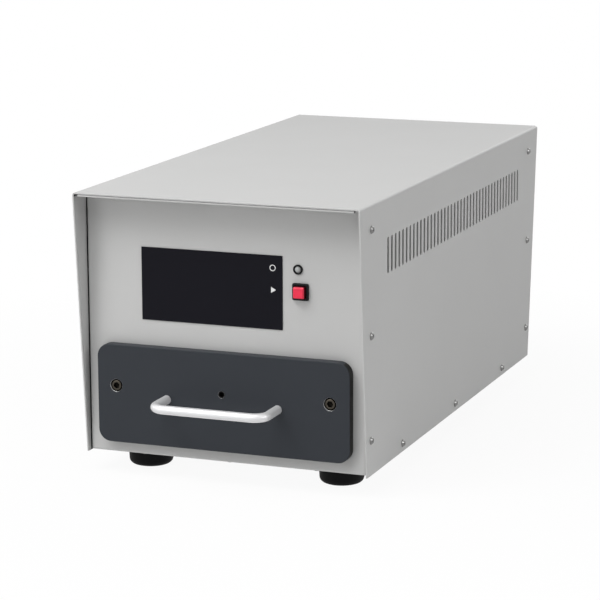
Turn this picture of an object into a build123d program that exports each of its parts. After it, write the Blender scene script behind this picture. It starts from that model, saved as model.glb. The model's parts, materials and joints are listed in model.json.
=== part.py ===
from build123d import *
import math
import os

# Drawer degausser: a bench machine that wipes one hard drive at a time in a pulsed coil.
# Millimetres. X to the right, Y to the back, Z up from the table; the drawer opens towards -Y.

# Cover: one sheet folded over the top and down both sides
cover_width = 280.0
cover_height = 250.0
cover_sheet = 1.5
cover_fold_inside = 1.5     # inside radius of the two long folds
hem_depth = 4.0             # strip turned back under the top's front and rear edges
hem_drop = 2.1              # strip below the top sheet
hem_joint = 0.6             # open line between the strip and the sheet
hem_joint_depth = 2.0
hem_relief = 2.5            # strip's ends from the inside of the long folds
edge_round = 0.4            # rounding of the cover's front and rear edges
hood_front = 25.0           # overhang of the top before the front panel
hood_rear = 30.0            # overhang of the top behind the rear panel
foot_overhang = 4.2         # overhang of the sides' lower ends
cover_air = 1.0             # between the cover and the flanges inside it
stand_height = 20.0         # lower edge of the cover above the table

# Vent slots in both sides of the cover
slot_count = 41
slot_pitch = 10.55
slot_width = 4.7
slot_length = 34.0
slot_first = 52.0           # first slot behind the front panel's face
slot_drop = 54.0            # middle of the slots below the top

# Cover screws: a column at each end of a side and a row along its foot
screw_shank = 4.0
screw_head = 7.5
screw_head_rise = 2.4
screw_length = 8.0
screw_inset = 6.0           # columns behind the panel faces
screw_low = 33.0            # lowest of a column above the cover's lower edge
screw_high_drop = 23.0      # highest of a column below the top
screw_row_rise = 8.0        # foot row above the cover's lower edge
screw_row_pitch = 164.0
screw_air = 0.15            # around every screw shank
head_easing = 0.45          # chamfer of a screw head as a share of its rise

# Chassis: front and rear panels with folded edges, and the pan they stand on
chassis_depth = 520.0       # face to face of the two panels
panel_sheet = 2.0
panel_bend_inside = 0.3
panel_lift = 1.0            # lower edge of the panels above the cover's
flange_depth = 16.0
pan_sheet = 2.0
pan_flange = 18.0
pan_air = 0.3               # between the pan and the panels
pan_screw_pitch = 86.0
pan_screw_inset = 10.0      # behind the panel faces

# Feet
foot_diameter = 44.0
foot_taper = 2.0            # smaller diameter at the table by this much
foot_round = 5.0
foot_edge = 43.0            # foot's middle from the cover's side
foot_inset = 47.0           # behind the front panel, and before the rear one
foot_recess = 12.0          # diameter of the screw's recess
foot_web = 8.0              # rubber left above the recess
foot_screw_head = 9.0
foot_screw_rise = 3.0
foot_screw_length = 14.0
foot_screw_shank = 5.0

# Drawer front
drawer_margin = 15.0        # from the cover's side to the drawer front's edge
drawer_height = 93.5
drawer_foot = 13.0          # lower edge above the cover's lower edge
drawer_thickness = 9.0
drawer_corner = 12.0
drawer_edge = 0.8           # eased front edge
drawer_gap = 0.3            # between the closed drawer front and the panel
drawer_travel = 180.0
sight_hole = 5.0

# Handle: one bent rod
handle_rod = 8.5
handle_centres = 110.0
handle_reach = 36.0         # drawer face to the bar's centre line
handle_bend = 12.5
handle_rise = 45.0          # above the drawer front's lower edge
handle_screw_shank = 4.0
handle_screw_head = 7.0
handle_screw_rise = 3.5
handle_screw_grip = 10.0    # depth in the handle's end

# Hard drive that the tray takes, and the tray
drive_width = 101.6
drive_length = 147.0
drive_height = 26.1
drive_air = 3.2
tray_wall = 3.0
tray_front_wall = 6.0
tray_pad_thickness = 2.0
tray_spare = 4.0            # wall above the drive
tray_scoop = 14.0           # radius of the finger scoops
tray_screw_centres = 60.0
tray_screw_shank = 4.0
tray_screw_head = 8.0
tray_screw_bite = 6.0       # depth in the drawer front

# Coil round the tray's place
bore_air = 3.0              # between the tray and the former
former_wall = 3.0
former_flange = 6.0
former_lip = 3.0            # flange beyond the winding
former_round = 4.0          # inside corners of the bore
winding_build = 20.0
coil_start = 20.0           # behind the front panel's face
coil_spare = 10.0           # coil beyond the tray's back wall
coil_screw_shank = 5.0
coil_screw_head = 9.0
coil_screw_rise = 3.0
coil_screw_bite = 12.0
coil_screw_inset = 30.0     # from the coil's sides

# Guide rods, their bushes and blocks
rod_diameter = 16.0
rod_to_coil = 20.0          # rod axis from the coil's flange
rod_rise = 54.5             # above the drawer front's lower edge
rod_hole_air = 2.0          # round a rod in the front panel
rod_tip = 5.0
rod_chamfer = 1.0
cap_screw_shank = 6.0
cap_screw_head = 10.0
cap_screw_rise = 6.0
cap_screw_hex = 5.0
cap_screw_socket = 3.0
cap_screw_bite = 16.0
cap_counterbore_air = 1.2
bush_wall = 4.0
bush_fit = 0.05             # running fit of a rod in its bush
seat_fit = 0.02             # a bush in its block, a collar on its rod
block_wall = 4.0
block_length = 30.0
block_first = 70.0          # behind the front panel's face
block_setback = 2.0         # rear blocks before the coil's rear
collar_wall = 6.0
collar_length = 10.0
stop_air = 0.5              # left between a collar and its block with the drawer out
block_screw_shank = 5.0
block_screw_head = 9.0
block_screw_rise = 3.0
block_screw_bite = 12.0

# Deck over the coil, with the supply and control parts
deck_sheet = 2.0
deck_air = 6.0              # above the coil
deck_leg_air = 4.0          # between a rod and the deck's leg
deck_foot = 14.0
deck_leg_gap = 5.0          # between a leg and the bearing blocks beside it
supply_depth = 80.0         # rear part of the deck, for transformer and heatsink
transformer_width = 96.0
transformer_height = 80.0
transformer_stack = 46.0
transformer_leg = 16.0
transformer_bobbin = 14.0   # winding beyond the stack, front and rear
transformer_air = 0.5
transformer_side = 62.0     # to the right of the middle
heatsink_width = 84.0
heatsink_depth = 70.0
heatsink_base = 8.0
heatsink_height = 46.0
heatsink_fin = 3.0
heatsink_fins = 8
heatsink_side = -62.0
thyristor_diameter = 30.0
thyristor_rise = 18.0
thyristor_stud = 8.0
board_width = 176.0
board_sheet = 1.6
board_rise = 8.0
board_inset = 6.0           # stand-offs from the board's edges
board_back = 6.0            # board behind the deck's front edge
board_gap = 4.0             # board before the supply parts
board_columns = 8           # its parts stand on a grid of columns and rows
board_rows = 4
standoff_radius = 3.0

# Capacitor bank behind the coil
can_diameter = 68.0
can_height = 150.0
can_gap = 8.0
can_rows = 3
can_start = 12.0            # behind the coil
can_chamfer = 2.0
bracket_sheet = 2.0
bracket_rise = 70.0
bracket_air = 0.4
bracket_margin = 6.0
bracket_foot = 12.0
terminal_diameter = 14.0
terminal_rise = 8.0
terminal_pitch = 28.0
bus_width = 18.0
bus_thickness = 3.0
resistor_length = 70.0
resistor_width = 24.0
resistor_height = 22.0
resistor_chamfer = 5.5

# Front controls: legend plate, ready lamp and start button
legend_width = 139.5
legend_height = 68.5
legend_thickness = 0.6
legend_corner = 0.6
legend_inset = 57.7         # left edge from the cover's left side
legend_lower = 13.5         # below the middle of the space over the drawer
control_gap = 15.0          # legend's right edge to the lamp's axis
button_side = 2.6           # button's axis to the right of the lamp's
lamp_rise = 22.8            # above the legend's middle
lamp_to_button = 20.3
lamp_diameter = 6.2
lamp_proud = 2.6
lamp_ring = 9.2
lamp_ring_proud = 1.6
lamp_body = 7.6
lamp_body_length = 9.0
button_square = 10.5
button_proud = 5.0          # cap before its bezel
button_travel = 2.0
button_air = 0.3
button_depth = 12.0
bezel_square = 15.6
bezel_proud = 2.5
bezel_wall = 1.0
bezel_length = 24.0
bezel_corner = 0.8
bezel_nut = 19.0
bezel_nut_thickness = 4.0

# Fan on the rear panel
fan_square = 80.0
fan_depth = 25.0
fan_duct = 75.0
fan_screw_pitch = 71.5
fan_drop = 85.0             # axis below the cover's top
fan_hub = 34.0
fan_blades = 7
fan_tip_air = 1.2
fan_blade_thickness = 1.6
fan_blade_pitch = 38.0
fan_rotor_depth = 15.0
fan_rotor_air = 0.5
fan_shaft = 3.0
fan_strut = 4.0
fan_back = 4.0              # thickness of the motor plate and struts
fan_screw_shank = 4.0
fan_screw_head = 7.5
fan_screw_rise = 2.2
guard_sheet = 1.5
guard_rings = 4
guard_ring_width = 2.2
guard_spoke = 4.0
guard_hub = 8.8
guard_lug = 10.0

# Mains inlet and power rocker on the rear panel
inlet_inset = 54.3          # inlet's middle from the panel's edge
inlet_rise = 52.0           # above the cover's lower edge
inlet_width = 27.0
inlet_height = 20.0
inlet_depth = 24.0
inlet_flange_width = 50.0
inlet_flange_height = 24.0
inlet_flange_sheet = 3.0
inlet_flange_corner = 8.0
inlet_rim = 2.5             # raised rim of the mouth before the flange
inlet_rim_wall = 1.6
inlet_mouth_width = 24.4
inlet_mouth_height = 16.6
inlet_mouth_depth = 18.0
inlet_mouth_chamfer = 4.5
inlet_pin_recess = 5.0      # pins behind the rim
inlet_pin_pitch = 7.0
inlet_pin_width = 4.0
inlet_pin_sheet = 2.0
inlet_screw_pitch = 40.0
inlet_screw_shank = 3.0
inlet_screw_head = 5.6
inlet_screw_rise = 2.0
inlet_screw_length = 10.0
rocker_over_inlet = 44.0
rocker_frame_width = 21.0
rocker_frame_height = 28.0
rocker_frame_sheet = 2.0
rocker_body_width = 18.6
rocker_body_height = 25.6
rocker_body_depth = 18.0
rocker_width = 13.5
rocker_length = 19.0
rocker_air = 0.5
rocker_swing = 20.0
rocker_rise = 3.2           # ends of the paddle before its pivot
rocker_dip = 1.6            # middle of the paddle before its pivot
rocker_pin = 2.0
rocker_pin_fit = 0.05
rocker_sink = 1.0           # pivot behind the frame's face
rocker_heel = 13.3          # length of the paddle's back, behind its pivot
rocker_heel_depth = 4.75

# Overall places
handle_front = drawer_gap + drawer_thickness + handle_reach + handle_rod / 2
front_y = (handle_front - chassis_depth - hood_rear) / 2
rear_y = front_y + chassis_depth
base_z = stand_height
top_z = base_z + cover_height
cover_half = cover_width / 2
hood_y0 = front_y - hood_front
hood_y1 = rear_y + hood_rear
foot_x = cover_half - foot_edge

# Chassis places
panel_half = cover_half - cover_sheet - cover_air
panel_foot_z = base_z + panel_lift
panel_top_z = top_z - cover_sheet - cover_air
pan_z = panel_foot_z + panel_sheet
floor_z = pan_z + pan_sheet

# Drawer places
drawer_half = cover_half - drawer_margin
drawer_low_z = base_z + drawer_foot
drawer_top_z = drawer_low_z + drawer_height
drawer_mid_z = (drawer_low_z + drawer_top_z) / 2
drawer_back_y = front_y - drawer_gap
drawer_face_y = drawer_back_y - drawer_thickness
handle_z = drawer_low_z + handle_rise
tray_width = drive_width + 2 * drive_air + 2 * tray_wall
tray_length = drive_length + 2 * drive_air + tray_wall + tray_front_wall
tray_height = tray_wall + tray_pad_thickness + drive_height + tray_spare
tray_low_z = drawer_mid_z - tray_height / 2
tray_end_y = drawer_back_y + tray_length

# Coil places
bore_width = tray_width + 2 * bore_air
bore_height = tray_height + 2 * bore_air
former_width = bore_width + 2 * former_wall
former_height = bore_height + 2 * former_wall
winding_width = former_width + 2 * winding_build
winding_height = former_height + 2 * winding_build
coil_half = winding_width / 2 + former_lip
coil_top_z = drawer_mid_z + winding_height / 2 + former_lip
coil_front_y = front_y + coil_start
coil_rear_y = tray_end_y + coil_spare

# Guide places
rod_x = coil_half + rod_to_coil
rod_z = drawer_low_z + rod_rise
rod_radius = rod_diameter / 2
bush_radius = rod_radius + bush_fit + bush_wall
block_half = bush_radius + block_wall
block_top_z = rod_z + block_half
block_fronts = [front_y + block_first, coil_rear_y - block_setback - block_length]
block_end_y = block_fronts[1] + block_length
collar_y = block_end_y + drawer_travel + stop_air
rod_end_y = collar_y + collar_length + rod_tip

# Deck places
deck_top_z = coil_top_z + deck_air + deck_sheet
deck_half = rod_x + rod_radius + deck_leg_air + deck_sheet
deck_front_y = coil_front_y
deck_rear_y = coil_rear_y
supply_y = deck_rear_y - supply_depth / 2

# Capacitor places
can_pitch = can_diameter + can_gap
can_first_y = coil_rear_y + can_start + can_diameter / 2
can_rows_y = [can_first_y + row * can_pitch for row in range(can_rows)]
can_spots = [(sx * can_pitch / 2, y) for y in can_rows_y for sx in (-1, 1)]
can_top_z = floor_z + can_height
terminal_top_z = can_top_z + terminal_rise

# Control places
legend_mid_z = (drawer_top_z + top_z) / 2 - legend_lower
legend_left = legend_inset - cover_half
legend_right = legend_left + legend_width
lamp_x = legend_right + control_gap
button_x = lamp_x + button_side
lamp_z = legend_mid_z + lamp_rise
button_z = lamp_z - lamp_to_button

# Rear places
fan_z = top_z - fan_drop
inlet_x = panel_half - inlet_inset
inlet_z = base_z + inlet_rise
inlet_face = inlet_flange_sheet + inlet_rim
rocker_z = inlet_z + rocker_over_inlet
rocker_pivot_y = rear_y + rocker_frame_sheet - rocker_sink
fan_front_y = rear_y - panel_sheet - fan_depth


def block(x0, x1, y0, y1, z0, z1):
    """A block between its lowest and its highest corner."""
    centre = Pos((x0 + x1) / 2, (y0 + y1) / 2, (z0 + z1) / 2)
    return centre * Box(x1 - x0, y1 - y0, z1 - z0)


def standing_box(width, depth, height):
    """A box on Z = 0, centred on the Z axis."""
    return Pos(0, 0, height / 2) * Box(width, depth, height)


def round_x(radius, x0, x1, y, z):
    """A round bar along X."""
    return Pos((x0 + x1) / 2, y, z) * Rot(0, 90, 0) * Cylinder(radius, x1 - x0)


def round_y(radius, y0, y1, x, z):
    """A round bar along Y."""
    return Pos(x, (y0 + y1) / 2, z) * Rot(90, 0, 0) * Cylinder(radius, y1 - y0)


def round_z(radius, z0, z1, x, y):
    """An upright round bar."""
    return Pos(x, y, (z0 + z1) / 2) * Cylinder(radius, z1 - z0)


def group(pieces):
    """Separate solids that share one node."""
    return Compound(children=[solid for piece in pieces for solid in piece.solids()])


def both_sides(piece):
    """A piece and its mirror image across the middle plane."""
    return [piece, mirror(piece, about=Plane.YZ)]


def screw(shank, length, head, rise):
    """A pan head screw along Z, with its seat at Z = 0 and its head above it."""
    cap = Pos(0, 0, rise / 2) * Cylinder(head / 2, rise)
    cap = chamfer(cap.edges().sort_by(Axis.Z)[-1], rise * head_easing)
    return cap + Pos(0, 0, -length / 2) * Cylinder(shank / 2, length)


def upright_ring(width, height, wall, y0, y1, z, corner):
    """A rectangular tube along Y with rounded corners."""
    outline = RectangleRounded(width, height, corner + wall)
    bore = RectangleRounded(width - 2 * wall, height - 2 * wall, corner)
    return Pos(0, y1, z) * Rot(90, 0, 0) * extrude(outline - bore, y1 - y0)


# Places of the nine screws in one side of the cover, as (y, z)
middle_y = (front_y + rear_y) / 2
low_z = base_z + screw_low
high_z = top_z - screw_high_drop
screw_column = [low_z, (low_z + high_z) / 2, high_z]
front_screws = [(front_y + screw_inset, z) for z in screw_column]
rear_screws = [(rear_y - screw_inset, z) for z in screw_column]
row_z = base_z + screw_row_rise
row_screws = [(middle_y + step * screw_row_pitch, row_z) for step in (-1, 0, 1)]


def screw_holes(places):
    """Cutters through both sides for screws at the given places."""
    radius = screw_shank / 2 + screw_air
    return [round_x(radius, -cover_half, cover_half, y, z) for y, z in places]


def side_prism(corners):
    """A prism across the whole cover from corners seen from the side, as (y, z)."""
    return extrude(Plane.YZ * Polygon(*corners, align=None), cover_half, both=True)


def cover_outline():
    """The cover seen from the side, with its upper edge longer than its lower one."""
    return side_prism([
        (front_y - foot_overhang, base_z),
        (hood_y0, top_z),
        (hood_y1, top_z),
        (rear_y + foot_overhang, base_z),
    ])


def folded_sheet():
    """Sheet metal bent over the top and both sides."""
    shells = []
    for inset in (0.0, cover_sheet):
        shell = block(inset - cover_half, cover_half - inset, hood_y0, hood_y1, base_z, top_z - inset)
        folds = shell.edges().filter_by(Axis.Y).group_by(Axis.Z)[-1]
        shells.append(fillet(folds, cover_fold_inside + cover_sheet - inset))
    return shells[0] - shells[1]


def hem_strips(depth, drop):
    """Strips of a given depth and drop under the top's front and rear edges."""
    half = cover_half - cover_sheet - cover_fold_inside - hem_relief
    roof_z = top_z - cover_sheet
    front = block(-half, half, hood_y0, hood_y0 + depth, roof_z - drop, roof_z)
    rear = block(-half, half, hood_y1 - depth, hood_y1, roof_z - drop, roof_z)
    return [front, rear]


def end_faces(shell):
    """Faces of the cover that look forwards at its front end, or backwards at its rear end."""
    faces = []
    for face in shell.faces():
        outwards = face.normal_at().Y * (face.center().Y - middle_y)
        if outwards > chassis_depth / 3:
            faces.append(face)
    return faces


def cover():
    """Folded cover with slanted ends, turned-back top edges and two rows of vent slots."""
    outline = cover_outline()
    shell = folded_sheet() & outline
    for strip in hem_strips(hem_depth, hem_drop):
        shell += strip & outline
    edges = [edge for face in end_faces(shell) for edge in face.outer_wire().edges()]
    shell = fillet([edge for edge in edges if edge.length > cover_width / 2], edge_round)
    shell -= hem_strips(hem_joint_depth, hem_joint)
    slot = Rot(0, 90, 0) * extrude(SlotOverall(slot_length, slot_width), cover_half + cover_sheet, both=True)
    z = top_z - slot_drop
    shell -= [Pos(0, front_y + slot_first + i * slot_pitch, z) * slot for i in range(slot_count)]
    return shell - screw_holes(front_screws + rear_screws + row_screws)


def cover_screws():
    """The nine screws of the right side."""
    piece = Rot(0, 90, 0) * screw(screw_shank, screw_length, screw_head, screw_head_rise)
    return group([Pos(cover_half, y, z) * piece for y, z in front_screws + rear_screws + row_screws])


def folded_panel():
    """A sheet with its four edges folded back, its face at Y = 0 and towards -Y."""
    height = panel_top_z - panel_foot_z
    middle = (panel_top_z + panel_foot_z) / 2
    outside = Pos(0, flange_depth / 2, middle) * Box(2 * panel_half, flange_depth, height)
    corners = outside.edges().filter_by(Axis.Y).group_by(Axis.Z)[-1]
    outside = fillet(corners, cover_fold_inside + cover_air)
    outside = fillet(outside.faces().sort_by(Axis.Y)[0].edges(), panel_bend_inside + panel_sheet)
    hollow = Box(2 * (panel_half - panel_sheet), flange_depth, height - 2 * panel_sheet)
    hollow = Pos(0, flange_depth / 2 + panel_sheet, middle) * hollow
    hollow = fillet(hollow.faces().sort_by(Axis.Y)[0].edges(), panel_bend_inside)
    return outside - hollow


def front_panel():
    """Front panel with the tray's opening, rod holes and the holes of lamp and button."""
    panel = Pos(0, front_y, 0) * folded_panel()
    y0, y1 = front_y, front_y + panel_sheet
    panel -= block(-bore_width / 2, bore_width / 2, y0, y1, drawer_mid_z - bore_height / 2,
                   drawer_mid_z + bore_height / 2)
    hole = round_y(rod_radius + rod_hole_air, y0, y1, rod_x, rod_z)
    panel -= both_sides(hole)
    panel -= round_y(lamp_body / 2 + screw_air, y0, y1, lamp_x, lamp_z)
    panel -= button_block(bezel_body_half() + screw_air, y0, y1)
    return panel - pan_screw_holes() - screw_holes(front_screws)


def rear_panel():
    """Rear panel with the fan's hole and the cut-outs of inlet and rocker."""
    panel = Pos(0, rear_y, 0) * Rot(0, 0, 180) * folded_panel()
    y0, y1 = rear_y - panel_sheet, rear_y
    panel -= round_y(fan_duct / 2, y0, y1, 0, fan_z)
    panel -= [round_y(fan_screw_shank / 2 + screw_air, y0, y1, x, z) for x, z in fan_corners()]
    panel -= block(inlet_x - inlet_width / 2, inlet_x + inlet_width / 2, y0, y1,
                   inlet_z - inlet_height / 2, inlet_z + inlet_height / 2)
    panel -= [round_y(inlet_screw_shank / 2 + screw_air, y0, y1, x, inlet_z) for x in inlet_screw_spots()]
    panel -= block(inlet_x - rocker_body_width / 2, inlet_x + rocker_body_width / 2, y0, y1,
                   rocker_z - rocker_body_height / 2, rocker_z + rocker_body_height / 2)
    return panel - pan_screw_holes() - screw_holes(rear_screws)


def foot_spots():
    """The four feet as (x, y)."""
    return [(sx * foot_x, y) for sx in (-1, 1) for y in (front_y + foot_inset, rear_y - foot_inset)]


def coil_screw_spots():
    """Screws that hold the coil's two flanges to the pan, as (x, y)."""
    ys = (coil_front_y + former_flange / 2, coil_rear_y - former_flange / 2)
    x = coil_half - coil_screw_inset
    return [(sx * x, y) for sx in (-1, 1) for y in ys]


def block_screw_spots():
    """One screw up into the middle of each bearing block, as (x, y)."""
    return [(sx * rod_x, y + block_length / 2) for sx in (-1, 1) for y in block_fronts]


def pan_screw_spots():
    """Three screws up through the lower flange of each panel, as (x, y)."""
    ys = (front_y + pan_screw_inset, rear_y - pan_screw_inset)
    return [(step * pan_screw_pitch, y) for step in (-1, 0, 1) for y in ys]


def pan_screw_holes():
    """Cutters for those screws through the flanges and the pan."""
    radius = screw_shank / 2 + screw_air
    return [round_z(radius, panel_foot_z, floor_z, x, y) for x, y in pan_screw_spots()]


def pan_screws():
    """Screws that hold the pan on the panels' lower flanges."""
    piece = Rot(180, 0, 0) * screw(screw_shank, screw_length, screw_head, screw_head_rise)
    return group([Pos(x, y, panel_foot_z) * piece for x, y in pan_screw_spots()])


def base_pan():
    """Pan with two turned-up sides, notched round the flanges of the panels."""
    bend = panel_sheet + panel_bend_inside + pan_air
    y0 = front_y + bend
    y1 = rear_y - bend
    pan = block(-panel_half, panel_half, y0, y1, pan_z, floor_z)
    side_y0 = front_y + flange_depth + pan_air
    side_y1 = rear_y - flange_depth - pan_air
    inner = panel_half - bend
    for ends in ((y0, side_y0), (side_y1, y1)):
        pan -= both_sides(block(inner, panel_half, *ends, pan_z, floor_z))
    side = block(panel_half - pan_sheet, panel_half, side_y0, side_y1, pan_z, pan_z + pan_flange)
    for piece in both_sides(side):
        pan += piece
    for spots, shank in (
        (foot_spots(), foot_screw_shank),
        (coil_screw_spots(), coil_screw_shank),
        (block_screw_spots(), block_screw_shank),
    ):
        pan -= [round_z(shank / 2 + screw_air, pan_z, floor_z, x, y) for x, y in spots]
    return pan - pan_screw_holes() - screw_holes(row_screws)


def feet():
    """Four tapered rubber feet with a recess for their screw."""
    top = foot_diameter / 2
    low = top - foot_taper / 2
    outline = Polygon((0, 0), (low, 0), (top, pan_z), (0, pan_z), align=None)
    outline = fillet(outline.vertices().group_by(Axis.Y)[0].sort_by(Axis.X)[-1], foot_round)
    foot = revolve(Plane.XZ * outline, Axis.Z)
    foot -= round_z(foot_recess / 2, 0, pan_z - foot_web, 0, 0)
    foot -= round_z(foot_screw_shank / 2 + screw_air, 0, pan_z, 0, 0)
    return group([Pos(x, y, 0) * foot for x, y in foot_spots()])


def foot_screws():
    """Screws up through the feet into the pan."""
    piece = Rot(180, 0, 0) * screw(foot_screw_shank, foot_screw_length, foot_screw_head, foot_screw_rise)
    return group([Pos(x, y, pan_z - foot_web) * piece for x, y in foot_spots()])


def drawer_front():
    """Rounded plate with counterbores for the rods' screws and, behind, for the handle's."""
    outline = RectangleRounded(2 * drawer_half, drawer_height, drawer_corner)
    plate = Rot(90, 0, 0) * extrude(outline, drawer_thickness)
    plate = Pos(0, drawer_back_y, drawer_mid_z) * plate
    plate = fillet(plate.faces().sort_by(Axis.Y)[0].edges(), drawer_edge)
    y0, y1 = drawer_face_y, drawer_back_y
    seat = y0 + cap_screw_rise
    bolt = round_y(cap_screw_shank / 2 + screw_air, seat, y1, rod_x, rod_z)
    bolt += round_y(cap_screw_head / 2 + cap_counterbore_air, y0, seat, rod_x, rod_z)
    post_x = handle_centres / 2
    grip = round_y(handle_screw_shank / 2 + screw_air, y0, y1, post_x, handle_z)
    grip += round_y(handle_screw_head / 2 + screw_air, y1 - handle_screw_rise, y1, post_x, handle_z)
    plate -= both_sides(bolt) + both_sides(grip)
    plate -= [round_y(tray_screw_shank / 2 + screw_air, y1 - tray_screw_bite, y1, x, drawer_mid_z)
              for x in tray_screw_spots()]
    return plate - round_y(sight_hole / 2, y0, y1, 0, rod_z)


def drawer_cap_screws():
    """Socket head screws through the drawer front into the guide rods."""
    socket = extrude(RegularPolygon(cap_screw_hex / 2, 6, major_radius=False), -cap_screw_socket)
    length = drawer_thickness - cap_screw_rise + cap_screw_bite
    bolt = Pos(0, 0, cap_screw_rise / 2) * Cylinder(cap_screw_head / 2, cap_screw_rise)
    bolt = bolt - Pos(0, 0, cap_screw_rise) * socket
    bolt += Pos(0, 0, -length / 2) * Cylinder(cap_screw_shank / 2, length)
    bolt = Pos(rod_x, drawer_face_y + cap_screw_rise, rod_z) * Rot(90, 0, 0) * bolt
    return group(both_sides(bolt))


def drawer_handle():
    """One rod bent into a bow, with a hole for a screw in each end."""
    half = handle_centres / 2
    bar_y = drawer_face_y - handle_reach
    corners = [(-half, drawer_face_y), (-half, bar_y), (half, bar_y), (half, drawer_face_y)]
    path = Pos(0, 0, handle_z) * FilletPolyline(*corners, radius=handle_bend)
    section = Pos(-half, drawer_face_y, handle_z) * Rot(90, 0, 0) * Circle(handle_rod / 2)
    bow = sweep(section, path)
    y0 = drawer_face_y - handle_screw_grip
    hole = round_y(handle_screw_shank / 2 + screw_air, y0, drawer_face_y, half, handle_z)
    return bow - both_sides(hole)


def handle_screws():
    """Screws through the drawer front from behind into the handle's ends."""
    length = drawer_thickness - handle_screw_rise + handle_screw_grip - screw_air
    piece = screw(handle_screw_shank, length, handle_screw_head, handle_screw_rise)
    piece = Pos(handle_centres / 2, drawer_back_y - handle_screw_rise, handle_z) * Rot(-90, 0, 0) * piece
    return group(both_sides(piece))


def guide_rods():
    """Two rods that carry the drawer, tapped for the screws in the drawer front."""
    rod = round_y(rod_radius, drawer_back_y, rod_end_y, rod_x, rod_z)
    rod = chamfer(rod.edges().sort_by(Axis.Y)[-1], rod_chamfer)
    bite = drawer_back_y + cap_screw_bite + screw_air
    rod -= round_y(cap_screw_shank / 2 + screw_air, drawer_back_y, bite, rod_x, rod_z)
    return group(both_sides(rod))


def rod_collars():
    """Stop collars at the back of the rods."""
    collar = round_y(rod_radius + collar_wall, collar_y, collar_y + collar_length, rod_x, rod_z)
    collar -= round_y(rod_radius + seat_fit, collar_y, collar_y + collar_length, rod_x, rod_z)
    return group(both_sides(collar))


def tray_screw_spots():
    """Places across the tray's front wall."""
    return [-tray_screw_centres / 2, tray_screw_centres / 2]


def media_tray():
    """Open box for one drive, with a finger scoop in each side wall."""
    half = tray_width / 2
    top = tray_low_z + tray_height
    tray = block(-half, half, drawer_back_y, tray_end_y, tray_low_z, top)
    tray -= block(tray_wall - half, half - tray_wall, drawer_back_y + tray_front_wall, tray_end_y - tray_wall,
                  tray_low_z + tray_wall, top)
    middle = (drawer_back_y + tray_front_wall + tray_end_y - tray_wall) / 2
    tray -= round_x(tray_scoop, -half, half, middle, top)
    seat = drawer_back_y + tray_front_wall
    for x in tray_screw_spots():
        tray -= round_y(tray_screw_shank / 2 + screw_air, drawer_back_y, seat, x, drawer_mid_z)
        tray -= Pos(x, seat, drawer_mid_z) * Rot(-90, 0, 0) * flat_head(screw_air)
    return tray


def flat_head(air):
    """Countersunk head under Z = 0, its sides at 45 degrees, with some air round it."""
    depth = (tray_screw_head - tray_screw_shank) / 2
    low = tray_screw_shank / 2 + air
    return Pos(0, 0, -depth / 2) * Cone(low, low + depth, depth)


def tray_pad():
    """Foam lining on the tray's floor."""
    half = tray_width / 2 - tray_wall - screw_air
    z = tray_low_z + tray_wall
    y0 = drawer_back_y + tray_front_wall + screw_air
    return block(-half, half, y0, tray_end_y - tray_wall - screw_air, z, z + tray_pad_thickness)


def tray_screws():
    """Flat head screws through the tray's front wall into the drawer front."""
    length = tray_front_wall + tray_screw_bite - screw_air
    piece = flat_head(0) + Pos(0, 0, -length / 2) * Cylinder(tray_screw_shank / 2, length)
    piece = Rot(-90, 0, 0) * piece
    seat = drawer_back_y + tray_front_wall
    return group([Pos(x, seat, drawer_mid_z) * piece for x in tray_screw_spots()])


def coil_former():
    """Spool round the tray's place, with flanges that stand on the pan."""
    tube = upright_ring(former_width, former_height, former_wall, coil_front_y, coil_rear_y, drawer_mid_z,
                        former_round)
    bore = RectangleRounded(bore_width, bore_height, former_round)
    bore = Pos(0, coil_rear_y, drawer_mid_z) * Rot(90, 0, 0) * extrude(bore, coil_rear_y - coil_front_y)
    for y0 in (coil_front_y, coil_rear_y - former_flange):
        tube += block(-coil_half, coil_half, y0, y0 + former_flange, floor_z, coil_top_z) - bore
    bite = floor_z + coil_screw_bite
    radius = coil_screw_shank / 2 + screw_air
    return tube - [round_z(radius, floor_z, bite, x, y) for x, y in coil_screw_spots()]


def coil_winding():
    """Wound conductor between the flanges, as one rounded ring."""
    y0 = coil_front_y + former_flange
    y1 = coil_rear_y - former_flange
    return upright_ring(winding_width, winding_height, winding_build, y0, y1, drawer_mid_z,
                        former_round + former_wall)


def coil_screws():
    """Screws up through the pan into the coil's flanges."""
    length = pan_sheet + coil_screw_bite - screw_air
    piece = Rot(180, 0, 0) * screw(coil_screw_shank, length, coil_screw_head, coil_screw_rise)
    return group([Pos(x, y, pan_z) * piece for x, y in coil_screw_spots()])


def bearing_blocks():
    """Four pedestals that hold the bushes, two for each rod."""
    pieces = []
    for y0 in block_fronts:
        y1 = y0 + block_length
        body = block(rod_x - block_half, rod_x + block_half, y0, y1, floor_z, block_top_z)
        body = chamfer(body.edges().filter_by(Axis.Y).group_by(Axis.Z)[-1], block_wall)
        body -= round_y(bush_radius + seat_fit, y0, y1, rod_x, rod_z)
        middle = y0 + block_length / 2
        body -= round_z(block_screw_shank / 2 + screw_air, floor_z, floor_z + block_screw_bite, rod_x, middle)
        pieces += both_sides(body)
    return group(pieces)


def rod_bushes():
    """Plain bushes in the blocks, a running fit on the rods."""
    pieces = []
    for y0 in block_fronts:
        y1 = y0 + block_length
        bush = round_y(bush_radius, y0, y1, rod_x, rod_z)
        bush -= round_y(rod_radius + bush_fit, y0, y1, rod_x, rod_z)
        pieces += both_sides(bush)
    return group(pieces)


def block_screws():
    """Screws up through the pan into the bearing blocks."""
    length = pan_sheet + block_screw_bite - screw_air
    piece = Rot(180, 0, 0) * screw(block_screw_shank, length, block_screw_head, block_screw_rise)
    return group([Pos(x, y, pan_z) * piece for x, y in block_screw_spots()])


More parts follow.
